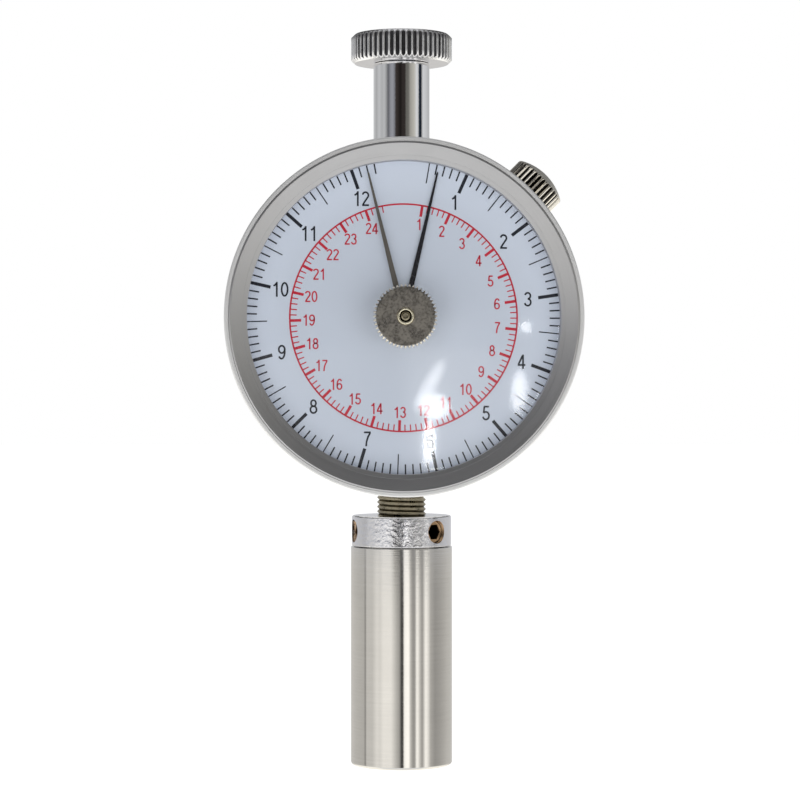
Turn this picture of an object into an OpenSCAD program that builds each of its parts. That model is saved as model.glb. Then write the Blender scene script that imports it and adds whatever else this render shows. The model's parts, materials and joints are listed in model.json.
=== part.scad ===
// Fruit penetrometer: a dial force gauge with a spring-loaded plunger and a rack-and-pinion movement.
// Z runs up along the plunger, the dial faces -Y, and the origin is the middle of the foot face.
// Parts on the dial axis are drawn lying on X and Y and are turned upright by on_dial().
// There, depths are counted from the plunger axis towards the viewer.

/* [Case] */
// Outer diameter of the flange at the front of the case
case_d = 60; // [54:0.5:66]
// Width of the bezel, from the case rim to the dial that shows
bezel_w = 3; // [2.6:0.1:3.6]
// Thickness of the case wall
case_wall = 2; // [1.5:0.25:2.5]
// Width of the case rim around the bezel
rim_w = 0.8; // [0.6:0.1:1]
// How far the bezel slopes inwards to the lens
bezel_rise = 1.2; // [0.6:0.1:2]
// Thickness of the rear cover
cover_t = 2; // [1.5:0.25:3]
// Depth of the ring inside the case that carries the movement and the rear cover
ledge_t = 3.6; // [3:0.2:5]

/* [Lens and dial] */
// Thickness of the lens
lens_t = 1.1; // [0.8:0.1:1.6]
// Rise of the domed lens over its rim
dome_rise = 2.6; // [1.6:0.2:3.4]
// Thickness of the lens gasket
gasket_t = 0.3; // [0.2:0.1:0.6]
// Thickness of the dial plate
dial_t = 0.6; // [0.4:0.1:1]
// Room for the two hands between the dial and the lens
hand_room = 1.8; // [1.6:0.1:3]
// How far the hands end short of the bezel
hand_short = 0.9; // [0.6:0.1:4]
// Thickness of both hands
hand_t = 0.2; // [0.15:0.05:0.3]
// Reading angle of the live hand at rest, clockwise from the top
live_angle = 13.1; // [0:0.1:30]
// Angle of the marker hand at rest, clockwise from the top
marker_angle = -13.8; // [-40:0.1:-5]

/* [Centre knob] */
// Diameter of the knurled knob on the lens
hub_d = 10.6; // [8:0.2:14]
// Thickness of the knurled knob on the lens
hub_t = 2.8; // [2:0.2:4]
// Number of grooves around the centre knob
hub_knurls = 48; // [36:2:56]

/* [Stem and top knob] */
// Outer diameter of the stem
stem_d = 9.6; // [9:0.1:11]
// Bore of the stem
stem_bore = 7.8; // [7.4:0.1:8]
// Length of the stem that shows above the case
stem_len = 13.85; // [10:0.05:20]
// Diameter of the top knob
knob_d = 17.3; // [14:0.1:22]
// Height of the top knob
knob_h = 4.9; // [4:0.1:8]
// Number of grooves around the top knob
knob_knurls = 54; // [40:2:60]

/* [Plunger] */
// Diameter of the plunger rod
rod_d = 5; // [4.6:0.1:5.4]
// Travel of the plunger at full scale
travel = 4; // [2:0.25:4]
// Diameter of the plunger tip
tip_d = 11; // [8:0.5:12]
// Length of the plunger tip
tip_len = 20; // [14:0.5:20]
// Depth mark on the tip, above its end
tip_mark = 10; // [5:0.5:12]
// Wire diameter of the main spring
spring_wire = 1.2; // [0.8:0.1:1.3]
// Mean diameter of the main spring
spring_d = 8.4; // [8:0.1:9]
// Number of curls in the main spring
spring_turns = 6; // [4:0.5:6]

/* [Nose, collar and cap] */
// Outer diameter of the threaded nose
nose_d = 8.4; // [8:0.1:9.6]
// Pitch of the nose thread
nose_pitch = 0.8; // [0.5:0.1:1]
// Length of thread that shows between the collar and the case
neck_gap = 3.55; // [3:0.05:8]
// Diameter of the lock collar
collar_d = 17; // [16:0.1:20]
// Height of the lock collar
collar_h = 5.25; // [4.6:0.05:8]
// Diameter of the grub screws
grub_d = 3.8; // [3:0.1:4]
// How far the guard cap stands out past the lock collar
cap_proud = 0.17; // [0:0.01:0.4]
// Wall of the guard cap
cap_wall = 1.45; // [1:0.05:1.8]
// Thickness of the closed end of the guard cap
cap_floor = 2.5; // [1.5:0.1:4]
// Length of the guard cap
cap_len = 37.35; // [35:0.05:45]

/* [Reset button] */
// Diameter of the reset button
reset_d = 9.9; // [8:0.1:12]
// Height of the knurled side of the reset button
reset_h = 3.55; // [2:0.05:5]
// Rise of the domed end of the reset button
reset_dome = 1.3; // [0.6:0.1:2]
// Travel of the reset button
reset_travel = 1.4; // [0.8:0.1:1.5]
// Number of grooves around the reset button
reset_knurls = 32; // [24:2:48]

/* [Movement] */
// Room left between the drive gear and the inside of the case
gear_clear = 1.38; // [1:0.02:3]
// Teeth on the drive gear
gear_teeth = 56; // [52:2:56]
// Teeth on the centre pinion
centre_teeth = 12; // [12:1:13]
// Teeth on the pinion that the rack turns
rack_pinion_teeth = 16; // [14:1:18]
// Thickness of each movement plate
plate_t = 1; // [0.8:0.1:1.2]
// Room between the front plate and the middle plate
gear_room = 3.6; // [3.2:0.2:5]
// Running clearance between a shaft and its bearing
run_gap = 0.05; // [0.03:0.01:0.08]
// Clearance between parts that are screwed or pressed together
fit_gap = 0.05; // [0.02:0.01:0.08]

/* [Hidden] */
$fn = 64;
eps = 0.01;

// Heights along the plunger
collar_z = cap_len + fit_gap;
collar_top = collar_z + collar_h;
dial_z = collar_top + neck_gap + case_d / 2;
stem_top = dial_z + case_d / 2 + stem_len;
knob_z = stem_top + fit_gap;

// Radii about the dial axis
bezel_r = case_d / 2 - rim_w;
window_r = bezel_r - bezel_w;
seat_r = window_r + 1.2;
inner_r = seat_r - 0.9;
body_r = inner_r + case_wall;
hand_len = window_r - hand_short;
dial_r = seat_r - 0.2;
ledge_r = inner_r - 4;
screw_ring_r = inner_r - 2;

// Depths in front of the plunger axis
rod_r = rod_d / 2;
middle_f = rod_r + 0.7;
front_f = middle_f + plate_t + gear_room;
dial_f = front_f + plate_t;
dial_face_f = dial_f + dial_t;
lens_f = dial_face_f + hand_room;
lens_rim_f = lens_f + lens_t;
bezel_f = lens_rim_f + gasket_t;
bezel_lip = 0.4;
bezel_outer_f = bezel_f + bezel_lip + bezel_rise;
flange_front_f = bezel_outer_f - 0.2;
flange_back_f = front_f - 0.3;
bezel_seat_f = lens_f;
apex_f = lens_rim_f + dome_rise;
hub_f = apex_f + 0.25;

// Depths behind the plunger axis
back_f = -(rod_r + 1.5);
ledge_f = back_f - plate_t;
cover_f = ledge_f - ledge_t;
rear_f = cover_f - cover_t - 0.4;

// Movement, with the largest gear module that the case has room for
pressure_angle = 25;
add_share = 0.8;
gear_module = (inner_r - gear_clear) / (gear_teeth + centre_teeth / 2 + add_share);
gear_pitch_r = gear_module * gear_teeth / 2;
centre_pitch_r = gear_module * centre_teeth / 2;
rack_pinion_r = gear_module * rack_pinion_teeth / 2;
tooth_add = add_share * gear_module;
tooth_ded = 1.12 * gear_module;
backlash = 0.04;
rack_pitch_x = -(rod_r + 0.7);
arbor_x = rack_pitch_x - rack_pinion_r;
centre_distance = gear_pitch_r + centre_pitch_r;
arbor_v = -sqrt(centre_distance * centre_distance - arbor_x * arbor_x);
mesh_angle = atan2(-arbor_v, -arbor_x);
arbor_r = 0.8;
pivot_r = 0.5;
pivot_len = 0.7;
gear_t = 0.9;
gear_f = middle_f + plate_t + 1.5;
rack_half_w = 1.2;
rack_root_x = -(rod_r - 1);
hand_gap = 0.3;
live_hand_f = dial_face_f + hand_gap;
marker_hand_f = live_hand_f + hand_t + 0.4;
hand_hub_r = 1.6;
hand_spindle_r = 0.6;
marker_shaft_r = 1.2;

function polar(r, a) = [r * cos(a), r * sin(a)];

// Plates, pillars and screws
plate_r = inner_r - 0.2;
pillar_r = 1.6;
pillar_screw_r = 0.8;
pillar_screw_len = 2.4;
pillar_head_r = 1.3;
small_screw_r = 0.9;
small_head_r = 1.7;
small_head_t = 0.8;
movement_screw_angles = [6, 174, 202, 338];
cover_screw_angles = [45, 135, 225, 315];

// Plunger
stem_r = stem_d / 2;
stem_bore_r = stem_bore / 2;
stem_flange_r = stem_r + 1.4;
stem_flange_t = 1.3;
stem_flange_z = dial_z + sqrt(inner_r * inner_r - stem_flange_r * stem_flange_r) - 0.1 - stem_flange_t;
nose_r = nose_d / 2;
nose_flange_r = nose_r + 1.8;
nose_flange_t = 1.35;
nose_flange_z = dial_z - sqrt(inner_r * inner_r - nose_flange_r * nose_flange_r) + 0.1;
nose_top = nose_flange_z + nose_flange_t;
nose_end_z = collar_z - 1.4;
stop_clip_r = rod_r + 0.5;
stop_clip_t = 0.8;
seat_ring_t = 1.4;
spring_len = 14.4;
spring_top_z = stem_flange_z - 0.1;
spring_low_z = spring_top_z - spring_len;
seat_ring_z = spring_low_z - 0.1 - seat_ring_t;
seat_ring_r = spring_d / 2 + 0.7;
// The middle and back plates end clear of the nose below and of the spring seat above
band_low = nose_top - dial_z + 3.2;
band_high = seat_ring_z - dial_z - 0.4;
pillar_v = band_high - pillar_r - 0.6;
pillar_x = sqrt(pow(inner_r - 5.7, 2) - pillar_v * pillar_v);
pillar_points = [polar(inner_r - 2.5, 214), polar(inner_r - 2.5, 326),
    [-pillar_x, pillar_v], [pillar_x, pillar_v]];
upper_bush_len = 5;
plug_len = 3.2;
rod_top_z = knob_z - plug_len - travel - 0.9;
cap_r = collar_d / 2 + cap_proud;
spigot_r = cap_r - cap_wall - 0.08;
spigot_len = 3.8;
grip_wire_r = 0.4;
grip_ring_r = spigot_r - grip_wire_r + 0.02;
tip_top_z = collar_z - spigot_len - travel - 1.4;
tip_z = tip_top_z - tip_len;
rod_in_tip = 6;
rod_low_z = tip_top_z - rod_in_tip;
rack_low_v = arbor_v - travel - 2.8;
rack_high_v = arbor_v + 3.6;

// Reset button, along its own axis at 45 degrees from the dial centre
reset_angle = 45;
reset_low = case_d / 2 + 0.3;
reset_bush_r = 2.9;
reset_pin_r = 1.4;
reset_bore_r = reset_pin_r + run_gap;
reset_bush_in = inner_r - 1.3;
reset_bush_out = body_r + 0.3;
reset_pin_end = 4.6;
reset_pin_in = inner_r - reset_pin_end;
reset_wire = 0.4;

function inv_deg(a) = tan(a) * 180 / PI - a;

// Half the angle that a tooth takes up at radius r
function tooth_half(r, pitch_r, teeth) =
    90 / teeth - backlash / pitch_r * 180 / PI + inv_deg(pressure_angle)
    - inv_deg(acos(min(1, pitch_r * cos(pressure_angle) / r)));

// Outline of an involute gear with a tooth centred on the X axis
function gear_outline(teeth, steps = 3) =
    let (pitch_r = gear_module * teeth / 2,
        base_r = pitch_r * cos(pressure_angle),
        tip_r = pitch_r + tooth_add,
        root_r = pitch_r - tooth_ded,
        low_r = max(base_r, root_r),
        radii = concat(root_r < base_r ? [root_r] : [],
            [for (i = [0 : steps]) low_r + (tip_r - low_r) * i / steps]),
        count = len(radii))
    [for (k = [0 : teeth - 1])
        for (j = [0 : 2 * count - 1])
            let (rising = j < count,
                r = radii[rising ? j : 2 * count - 1 - j],
                half = tooth_half(max(r, base_r), pitch_r, teeth))
            polar(r, k * 360 / teeth + (rising ? -half : half))];

// Outline of a knurled rim: flat-topped ridges with V grooves
function knurl_outline(r, count, depth) =
    [for (k = [0 : count - 1])
        for (p = [[0, -depth], [0.28, 0], [0.72, 0]])
            polar(r + p[1], (k + p[0]) * 360 / count)];

// Ring of points across a wire, square to its path
function wire_ring(centre, out, up, wire_r, sides) =
    [for (s = [0 : sides - 1])
        centre + wire_r * (cos(s * 360 / sides) * out + sin(s * 360 / sides) * up)];

function helix_point(mean_r, rise, turns, t) =
    [mean_r * cos(360 * turns * t), mean_r * sin(360 * turns * t), rise * t];

// Least gap of a coil to itself, measured between its path points a turn apart
function coil_gap(mean_r, rise, turns, wire) =
    min([for (i = [0 : 8 * (turns - 1)])
        norm(helix_point(mean_r, rise, turns, i / (8 * turns))
            - helix_point(mean_r, rise, turns, (i + 8) / (8 * turns)))]) - wire;

// A coil of round wire as one unbroken tube, with 8 rings of 6 sides to a curl
module coil(mean_r, height, turns, wire) {
    sides = 6;
    rings = ceil(8 * turns);
    rise = height - wire;
    points = [for (i = [0 : rings])
        let (a = 360 * turns * i / rings, out = [cos(a), sin(a), 0])
        for (p = wire_ring(helix_point(mean_r, rise, turns, i / rings) + [0, 0, wire / 2],
            out, [0, 0, 1], wire / 2, sides)) p];
    walls = [for (i = [0 : rings - 1])
        for (s = [0 : sides - 1])
            let (a = i * sides + s, b = i * sides + (s + 1) % sides)
            for (f = [[a, a + sides, b], [b, a + sides, b + sides]]) f];
    low_end = [for (s = [1 : sides - 2]) [0, s, s + 1]];
    high_end = [for (s = [1 : sides - 2])
        [rings * sides, rings * sides + s + 1, rings * sides + s]];
    polyhedron(points, concat(walls, low_end, high_end));
}

// Turns a part drawn on X and Y, with its depth along Z, to face the viewer at the dial centre
module on_dial() {
    translate([0, 0, dial_z])
        rotate([90, 0, 0])
            children();
}

// Places children on the reset button's axis, with Z pointing out of the case
module on_reset() {
    translate([0, 0, dial_z])
        rotate([0, reset_angle, 0])
            children();
}

module tube(outer_r, inner_r, height) {
    difference() {
        cylinder(r = outer_r, h = height);
        translate([0, 0, -eps])
            cylinder(r = inner_r, h = height + 2 * eps);
    }
}

// Copies children around the dial centre
module around(radius, angles) {
    for (a = angles)
        translate([radius * cos(a), radius * sin(a), 0])
            children();
}

// A screw with its head up and a slot across it, standing on the bottom of its shank
module slotted_screw(shank_r, shank_len, head_r, head_t) {
    difference() {
        union() {
            cylinder(r = shank_r, h = shank_len + eps);
            translate([0, 0, shank_len])
                cylinder(r = head_r, h = head_t);
        }
        translate([-head_r - eps, -head_r * 0.16, shank_len + head_t * 0.5])
            cube([2 * head_r + 2 * eps, head_r * 0.32, head_t]);
    }
}

// A knurled disc whose upper and lower edges are bevelled
module knurled_disc(r, height, count, depth, low_bevel, high_bevel) {
    beyond = 0.5;
    intersection() {
        linear_extrude(height)
            polygon(knurl_outline(r, count, depth));
        rotate_extrude()
            polygon([[0, 0], [r - low_bevel, 0], [r + beyond, low_bevel + beyond],
                [r + beyond, height - high_bevel - beyond], [r - high_bevel, height], [0, height]]);
    }
}

module case_body() {
    rim_round = 0.3;
    color("silver") difference() {
        on_dial() difference() {
            rotate_extrude($fn = 128)
                polygon([[0, rear_f], [body_r - 0.8, rear_f], [body_r, rear_f + 0.8],
                    [body_r, flange_back_f], [case_d / 2 - rim_round, flange_back_f],
                    [case_d / 2, flange_back_f + rim_round], [case_d / 2, flange_front_f - rim_round],
                    [case_d / 2 - rim_round, flange_front_f], [0, flange_front_f]]);
            // Recesses for the bezel, the lens and the dial
            translate([0, 0, bezel_seat_f])
                cylinder(r = bezel_r + fit_gap, h = flange_front_f, $fn = 128);
            translate([0, 0, dial_f])
                cylinder(r = seat_r, h = flange_front_f, $fn = 128);
            // Room for the movement, down to the ledge
            translate([0, 0, ledge_f])
                cylinder(r = inner_r, h = dial_f - ledge_f + eps, $fn = 128);
            translate([0, 0, cover_f - eps])
                cylinder(r = ledge_r, h = ledge_t + 2 * eps, $fn = 128);
            translate([0, 0, rear_f - eps])
                cylinder(r = inner_r, h = cover_f - rear_f + eps, $fn = 128);
            around(screw_ring_r, cover_screw_angles)
                translate([0, 0, cover_f - eps])
                    cylinder(r = small_screw_r + fit_gap, h = ledge_t - 0.5);
            around(screw_ring_r, movement_screw_angles)
                translate([0, 0, ledge_f - ledge_t + 0.6])
                    cylinder(r = small_screw_r + fit_gap, h = ledge_t);
        }
        // Holes for the stem, the nose and the reset bush
        translate([0, 0, dial_z])
            cylinder(r = stem_r + fit_gap, h = case_d);
        translate([0, 0, dial_z - case_d])
            cylinder(r = nose_r + fit_gap, h = case_d);
        on_reset()
            cylinder(r = reset_bush_r + fit_gap, h = case_d);
        // Notches in the ledge for the flanges of the stem and the nose
        translate([0, 0, dial_z + ledge_r - 1])
            cylinder(r = stem_flange_r + 0.3, h = stem_flange_z + stem_flange_t + fit_gap - dial_z - ledge_r + 1);
        translate([0, 0, nose_flange_z - fit_gap])
            cylinder(r = nose_flange_r + 0.3, h = dial_z - ledge_r + 1 - nose_flange_z + fit_gap);
    }
}

module rear_cover() {
    color("gainsboro") on_dial() difference() {
        translate([0, 0, cover_f - cover_t]) rotate_extrude($fn = 128)
            polygon([[0, 0], [inner_r - 0.5, 0], [inner_r - 0.1, 0.4],
                [inner_r - 0.1, cover_t - 0.02], [0, cover_t - 0.02]]);
        around(screw_ring_r, cover_screw_angles) {
            translate([0, 0, cover_f - cover_t - eps])
                cylinder(r = small_screw_r + fit_gap, h = cover_t + 1);
            translate([0, 0, cover_f - cover_t - eps])
                cylinder(r = small_head_r + fit_gap, h = small_head_t + 0.1);
        }
        // A shallow turned recess in the middle of the cover
        translate([0, 0, cover_f - cover_t - eps])
            cylinder(r = ledge_r - 3, h = 0.4, $fn = 128);
    }
}

module cover_screws() {
    shank = cover_t - small_head_t + ledge_t - 1.2;
    color("dimgray") on_dial()
        around(screw_ring_r, cover_screw_angles)
            translate([0, 0, cover_f - cover_t + small_head_t + shank + 0.05])
                rotate([180, 0, 0])
                    slotted_screw(small_screw_r, shank, small_head_r, small_head_t);
}

module bezel() {
    color("lightgray") on_dial()
        rotate_extrude($fn = 128)
            polygon([[window_r, bezel_f], [window_r, bezel_f + bezel_lip],
                [bezel_r - 0.25, bezel_outer_f], [bezel_r, bezel_outer_f - 0.25],
                [bezel_r, bezel_seat_f], [seat_r + fit_gap, bezel_seat_f],
                [seat_r + fit_gap, bezel_f]]);
}

module lens() {
    rim_r = seat_r - 0.1;
    dome_r = window_r;
    sphere_r = (dome_r * dome_r + dome_rise * dome_rise) / (2 * dome_rise);
    steps = 12;
    half = asin(dome_r / sphere_r);
    outer = [for (i = [0 : steps])
        [sphere_r * sin(half * i / steps), apex_f - sphere_r + sphere_r * cos(half * i / steps)]];
    inner = [for (p = outer) p - [0, lens_t]];
    color([0.85, 0.9, 0.95, 0.35]) on_dial() difference() {
        rotate_extrude($fn = 96)
            polygon(concat([for (p = outer) p], [[rim_r, lens_rim_f], [rim_r, lens_f]],
                [for (i = [steps : -1 : 0]) inner[i]]));
        translate([0, 0, lens_f - 1])
            cylinder(r = marker_shaft_r + run_gap, h = apex_f);
    }
}

module lens_gasket() {
    color("dimgray") on_dial()
        translate([0, 0, lens_rim_f])
            tube(seat_r - 0.15, window_r + 0.1, gasket_t);
}

module spacer_ring() {
    color("lightsteelblue") on_dial()
        translate([0, 0, dial_face_f])
            tube(seat_r - 0.1, window_r + 0.1, hand_room);
}

module dial() {
    color("aliceblue") on_dial()
        translate([0, 0, dial_f])
            tube(dial_r, 1.2, dial_t, $fn = 128);
}

module front_plate() {
    color("khaki") on_dial() difference() {
        translate([0, 0, front_f])
            cylinder(r = plate_r, h = plate_t);
        translate([0, 0, front_f - eps])
            cylinder(r = hand_spindle_r + run_gap, h = plate_t + 1);
        translate([arbor_x, arbor_v, front_f - eps])
            cylinder(r = pivot_r + run_gap, h = plate_t + 1);
        for (p = pillar_points)
            translate([p[0], p[1], front_f - eps]) {
                cylinder(r = pillar_screw_r + fit_gap, h = plate_t + 1);
                translate([0, 0, plate_t * 0.4])
                    cylinder(r = pillar_head_r + fit_gap, h = plate_t);
            }
    }
}

// The band of a plate that is left between the nose and the main spring
module plate_band() {
    intersection() {
        cylinder(r = plate_r, h = plate_t);
        translate([-plate_r, band_low, -1])
            cube([2 * plate_r, band_high - band_low, plate_t + 2]);
    }
}

module middle_plate() {
    color("khaki") on_dial() difference() {
        translate([0, 0, middle_f])
            plate_band();
        translate([0, 0, middle_f - eps])
            cylinder(r = pivot_r + run_gap, h = plate_t + 1);
        translate([arbor_x, arbor_v, middle_f - eps])
            cylinder(r = arbor_r + 0.3, h = plate_t + 1);
        for (p = pillar_points)
            translate([p[0], p[1], middle_f - eps])
                cylinder(r = pillar_r + fit_gap, h = plate_t + 1);
    }
}

module back_plate() {
    color("khaki") on_dial() difference() {
        translate([0, 0, back_f - plate_t])
            plate_band();
        translate([arbor_x, arbor_v, back_f - plate_t - eps])
            cylinder(r = pivot_r + run_gap, h = plate_t + 1);
        around(screw_ring_r, movement_screw_angles)
            translate([0, 0, back_f - plate_t - eps])
                cylinder(r = small_screw_r + fit_gap, h = plate_t + 1);
    }
}

module pillars() {
    shoulder = 0.5;
    color("gold") on_dial()
        for (p = pillar_points)
            translate([p[0], p[1], back_f])
                difference() {
                    union() {
                        cylinder(r = pillar_r, h = front_f - back_f);
                        // Collar under the middle plate
                        translate([0, 0, middle_f - back_f - shoulder])
                            cylinder(r = pillar_r + shoulder, h = shoulder);
                    }
                    translate([0, 0, front_f - back_f - pillar_screw_len - 0.6])
                        cylinder(r = pillar_screw_r + fit_gap, h = pillar_screw_len + 1);
                }
}

module pillar_screws() {
    head_t = plate_t * 0.55;
    shank = plate_t * 0.4 + pillar_screw_len;
    color("silver") on_dial()
        for (p = pillar_points)
            translate([p[0], p[1], front_f + plate_t * 0.4 - shank])
                slotted_screw(pillar_screw_r, shank, pillar_head_r, head_t);
}

module movement_screws() {
    shank = plate_t + ledge_t - 0.8;
    color("silver") on_dial()
        around(screw_ring_r, movement_screw_angles)
            translate([0, 0, back_f - shank + fit_gap])
                slotted_screw(small_screw_r, shank, small_head_r, small_head_t);
}

module stem() {
    chamfer = 0.3;
    color("silver") translate([0, 0, stem_flange_z]) difference() {
        rotate_extrude()
            polygon([[0, 0], [stem_flange_r, 0], [stem_flange_r, stem_flange_t],
                [stem_r, stem_flange_t], [stem_r, stem_top - stem_flange_z - chamfer],
                [stem_r - chamfer, stem_top - stem_flange_z], [0, stem_top - stem_flange_z]]);
        translate([0, 0, -eps])
            cylinder(r = stem_bore_r, h = stem_top);
    }
}

module upper_bush() {
    color("goldenrod") translate([0, 0, stem_flange_z])
        tube(stem_bore_r - fit_gap, rod_r + run_gap, upper_bush_len);
}

// Turned nose whose thread is drawn as V rings
module threaded_nose() {
    depth = 0.45;
    thread_len = collar_top + neck_gap - nose_end_z;
    turns = floor(thread_len / nose_pitch);
    profile = concat([[0, nose_end_z]],
        [for (i = [0 : turns - 1])
            for (p = [[nose_r - depth, 0], [nose_r, 0.5]])
                [p[0], nose_end_z + (i + p[1]) * nose_pitch]],
        [[nose_r - depth, nose_end_z + turns * nose_pitch],
            [nose_r, nose_end_z + (turns + 0.5) * nose_pitch],
            [nose_r, nose_flange_z], [nose_flange_r, nose_flange_z],
            [nose_flange_r, nose_top], [0, nose_top]]);
    color("darkkhaki") difference() {
        rotate_extrude()
            polygon(profile);
        cylinder(r = rod_r + run_gap, h = nose_top + 1);
    }
}

// Places children on the three grub screw axes, with Z pointing outwards
module on_grubs() {
    for (a = [43, 163, 283])
        translate([0, 0, collar_z + collar_h / 2])
            rotate([0, 0, a - 90])
                rotate([0, 90, 0])
                    children();
}

module lock_collar() {
    bevel = 0.2;
    color("gainsboro") difference() {
        rotate_extrude()
            polygon([[0, collar_z - spigot_len], [spigot_r - bevel, collar_z - spigot_len],
                [spigot_r, collar_z - spigot_len + bevel], [spigot_r, collar_z],
                [collar_d / 2 - bevel, collar_z], [collar_d / 2, collar_z + bevel],
                [collar_d / 2, collar_top - bevel], [collar_d / 2 - bevel, collar_top],
                [0, collar_top]]);
        translate([0, 0, nose_end_z - fit_gap])
            cylinder(r = nose_r + fit_gap, h = collar_top);
        translate([0, 0, collar_z - spigot_len - eps])
            cylinder(r = rod_r + 0.5, h = collar_top);
        translate([0, 0, collar_z - spigot_len / 2])
            rotate_extrude()
                translate([grip_ring_r, 0])
                    circle(r = grip_wire_r + fit_gap, $fn = 24);
        on_grubs()
            cylinder(r = grub_d / 2 + fit_gap, h = collar_d);
    }
}

module grub_screws() {
    inner = nose_r + 0.1;
    outer = collar_d / 2 - 0.7;
    color("peru") on_grubs()
        difference() {
            translate([0, 0, inner])
                cylinder(r = grub_d / 2, h = outer - inner);
            translate([0, 0, outer - 1.8])
                cylinder(r = grub_d * 0.29, h = 3, $fn = 6);
        }
}

module grip_ring() {
    color("black") translate([0, 0, collar_z - spigot_len / 2])
        rotate_extrude()
            translate([grip_ring_r, 0])
                circle(r = grip_wire_r, $fn = 24);
}

module reset_bush() {
    color("darkkhaki") on_reset() difference() {
        translate([0, 0, reset_bush_in])
            cylinder(r = reset_bush_r, h = reset_bush_out - reset_bush_in);
        cylinder(r = reset_bore_r, h = case_d);
        // Pocket for the return spring
        translate([0, 0, body_r - 1.4])
            cylinder(r = reset_bore_r + reset_wire + 0.4, h = case_wall + 2);
    }
}

module plunger_rod() {
    bevel = 0.4;
    color("silver") difference() {
        rotate_extrude()
            polygon([[0, rod_low_z], [rod_r, rod_low_z], [rod_r, rod_top_z - bevel],
                [rod_r - bevel, rod_top_z], [0, rod_top_z]]);
        // Slot that holds the rack
        translate([-rod_d, -rack_half_w - fit_gap, dial_z + rack_low_v - fit_gap])
            cube([rod_d + rack_root_x + fit_gap, 2 * (rack_half_w + fit_gap),
                rack_high_v - rack_low_v + 2 * fit_gap]);
    }
}

module plunger_rack() {
    pitch = PI * gear_module;
    slope = tan(pressure_angle);
    half = pitch / 4 - backlash;
    below = floor((arbor_v - rack_low_v) / pitch - 0.5);
    above = floor((rack_high_v - arbor_v) / pitch - 0.5);
    root_x = rack_pitch_x + tooth_ded;
    teeth = [for (k = [-below : above])
        for (p = [[root_x, -half - slope * tooth_ded], [rack_pitch_x - tooth_add, -half + slope * tooth_add],
            [rack_pitch_x - tooth_add, half - slope * tooth_add], [root_x, half + slope * tooth_ded]])
            [p[0], arbor_v + (k - 0.5) * pitch + p[1]]];
    color("silver") on_dial()
        translate([0, 0, -rack_half_w])
            linear_extrude(2 * rack_half_w)
                polygon(concat([[rack_root_x, rack_low_v], [root_x, rack_low_v]], teeth,
                    [[root_x, rack_high_v], [rack_root_x, rack_high_v]]));
}

module stop_clip() {
    color("dimgray") translate([0, 0, nose_top + 0.1])
        tube(stop_clip_r, rod_r + fit_gap, stop_clip_t);
}

module spring_seat() {
    color("goldenrod") translate([0, 0, seat_ring_z])
        tube(seat_ring_r, rod_r + fit_gap, seat_ring_t);
}

module main_spring() {
    color("slategray") translate([0, 0, spring_low_z])
        coil(spring_d / 2, spring_len, spring_turns, spring_wire);
    echo("least gap of the main spring to itself, mm",
        coil_gap(spring_d / 2, spring_len - spring_wire, spring_turns, spring_wire));
}

module plunger_tip() {
    tip_r = tip_d / 2;
    crown = 1.6;
    crown_r = (tip_r * tip_r + crown * crown) / (2 * crown);
    crown_half = asin(tip_r / crown_r);
    mark_z = tip_z + tip_mark;
    color("silver") difference() {
        rotate_extrude()
            polygon(concat(
                [for (i = [0 : 8]) [crown_r * sin(crown_half * i / 8),
                    tip_z + crown_r - crown_r * cos(crown_half * i / 8)]],
                [[tip_r, mark_z], [tip_r - 0.3, mark_z], [tip_r - 0.3, mark_z + 0.5],
                    [tip_r, mark_z + 0.5], [tip_r, tip_top_z - 0.5], [tip_r - 0.5, tip_top_z],
                    [0, tip_top_z]]));
        translate([0, 0, rod_low_z - 0.3])
            cylinder(r = rod_r + fit_gap, h = tip_top_z);
    }
}

module guard_cap() {
    cap_round = 0.5;
    color("lightgray") difference() {
        rotate_extrude()
            polygon(concat([[0, 0]],
                [for (i = [0 : 4]) [cap_r - cap_round + cap_round * sin(i * 22.5),
                    cap_round - cap_round * cos(i * 22.5)]],
                [[cap_r, cap_len - 0.15], [cap_r - 0.15, cap_len], [0, cap_len]]));
        translate([0, 0, cap_floor])
            cylinder(r = cap_r - cap_wall, h = cap_len);
    }
}

module rack_pinion() {
    color("gold") on_dial() translate([arbor_x, arbor_v, 0]) {
        translate([0, 0, -rack_half_w - 0.9])
            linear_extrude(2 * rack_half_w + 1.8)
                polygon(gear_outline(rack_pinion_teeth));
        // Arbor with a pivot at each end
        translate([0, 0, back_f + run_gap])
            cylinder(r = arbor_r, h = front_f - back_f - 2 * run_gap);
        translate([0, 0, back_f - pivot_len])
            cylinder(r = pivot_r, h = front_f - back_f + 2 * pivot_len);
    }
}

module drive_gear() {
    color("gold") on_dial() translate([arbor_x, arbor_v, gear_f]) rotate([0, 0, mesh_angle])
        difference() {
            union() {
                linear_extrude(gear_t)
                    polygon(gear_outline(gear_teeth));
                translate([0, 0, -0.5])
                    cylinder(r = 2.2, h = gear_t + 1);
            }
            translate([0, 0, -1])
                cylinder(r = arbor_r + fit_gap, h = gear_t + 2);
            for (a = [45 : 90 : 315])
                translate([gear_pitch_r * 0.56 * cos(a), gear_pitch_r * 0.56 * sin(a), -1])
                    cylinder(r = gear_pitch_r * 0.22, h = gear_t + 2);
        }
}

module centre_pinion() {
    color("gold") on_dial() {
        rotate([0, 0, mesh_angle + 180 / centre_teeth])
            translate([0, 0, gear_f - 0.6])
                linear_extrude(gear_t + 1.2)
                    polygon(gear_outline(centre_teeth));
        translate([0, 0, middle_f + plate_t + run_gap])
            cylinder(r = arbor_r, h = gear_room - 2 * run_gap);
        translate([0, 0, middle_f + plate_t - pivot_len])
            cylinder(r = pivot_r, h = pivot_len + 1);
        translate([0, 0, gear_f])
            cylinder(r = hand_spindle_r, h = live_hand_f + hand_t + 0.1 - gear_f);
    }
}

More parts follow.
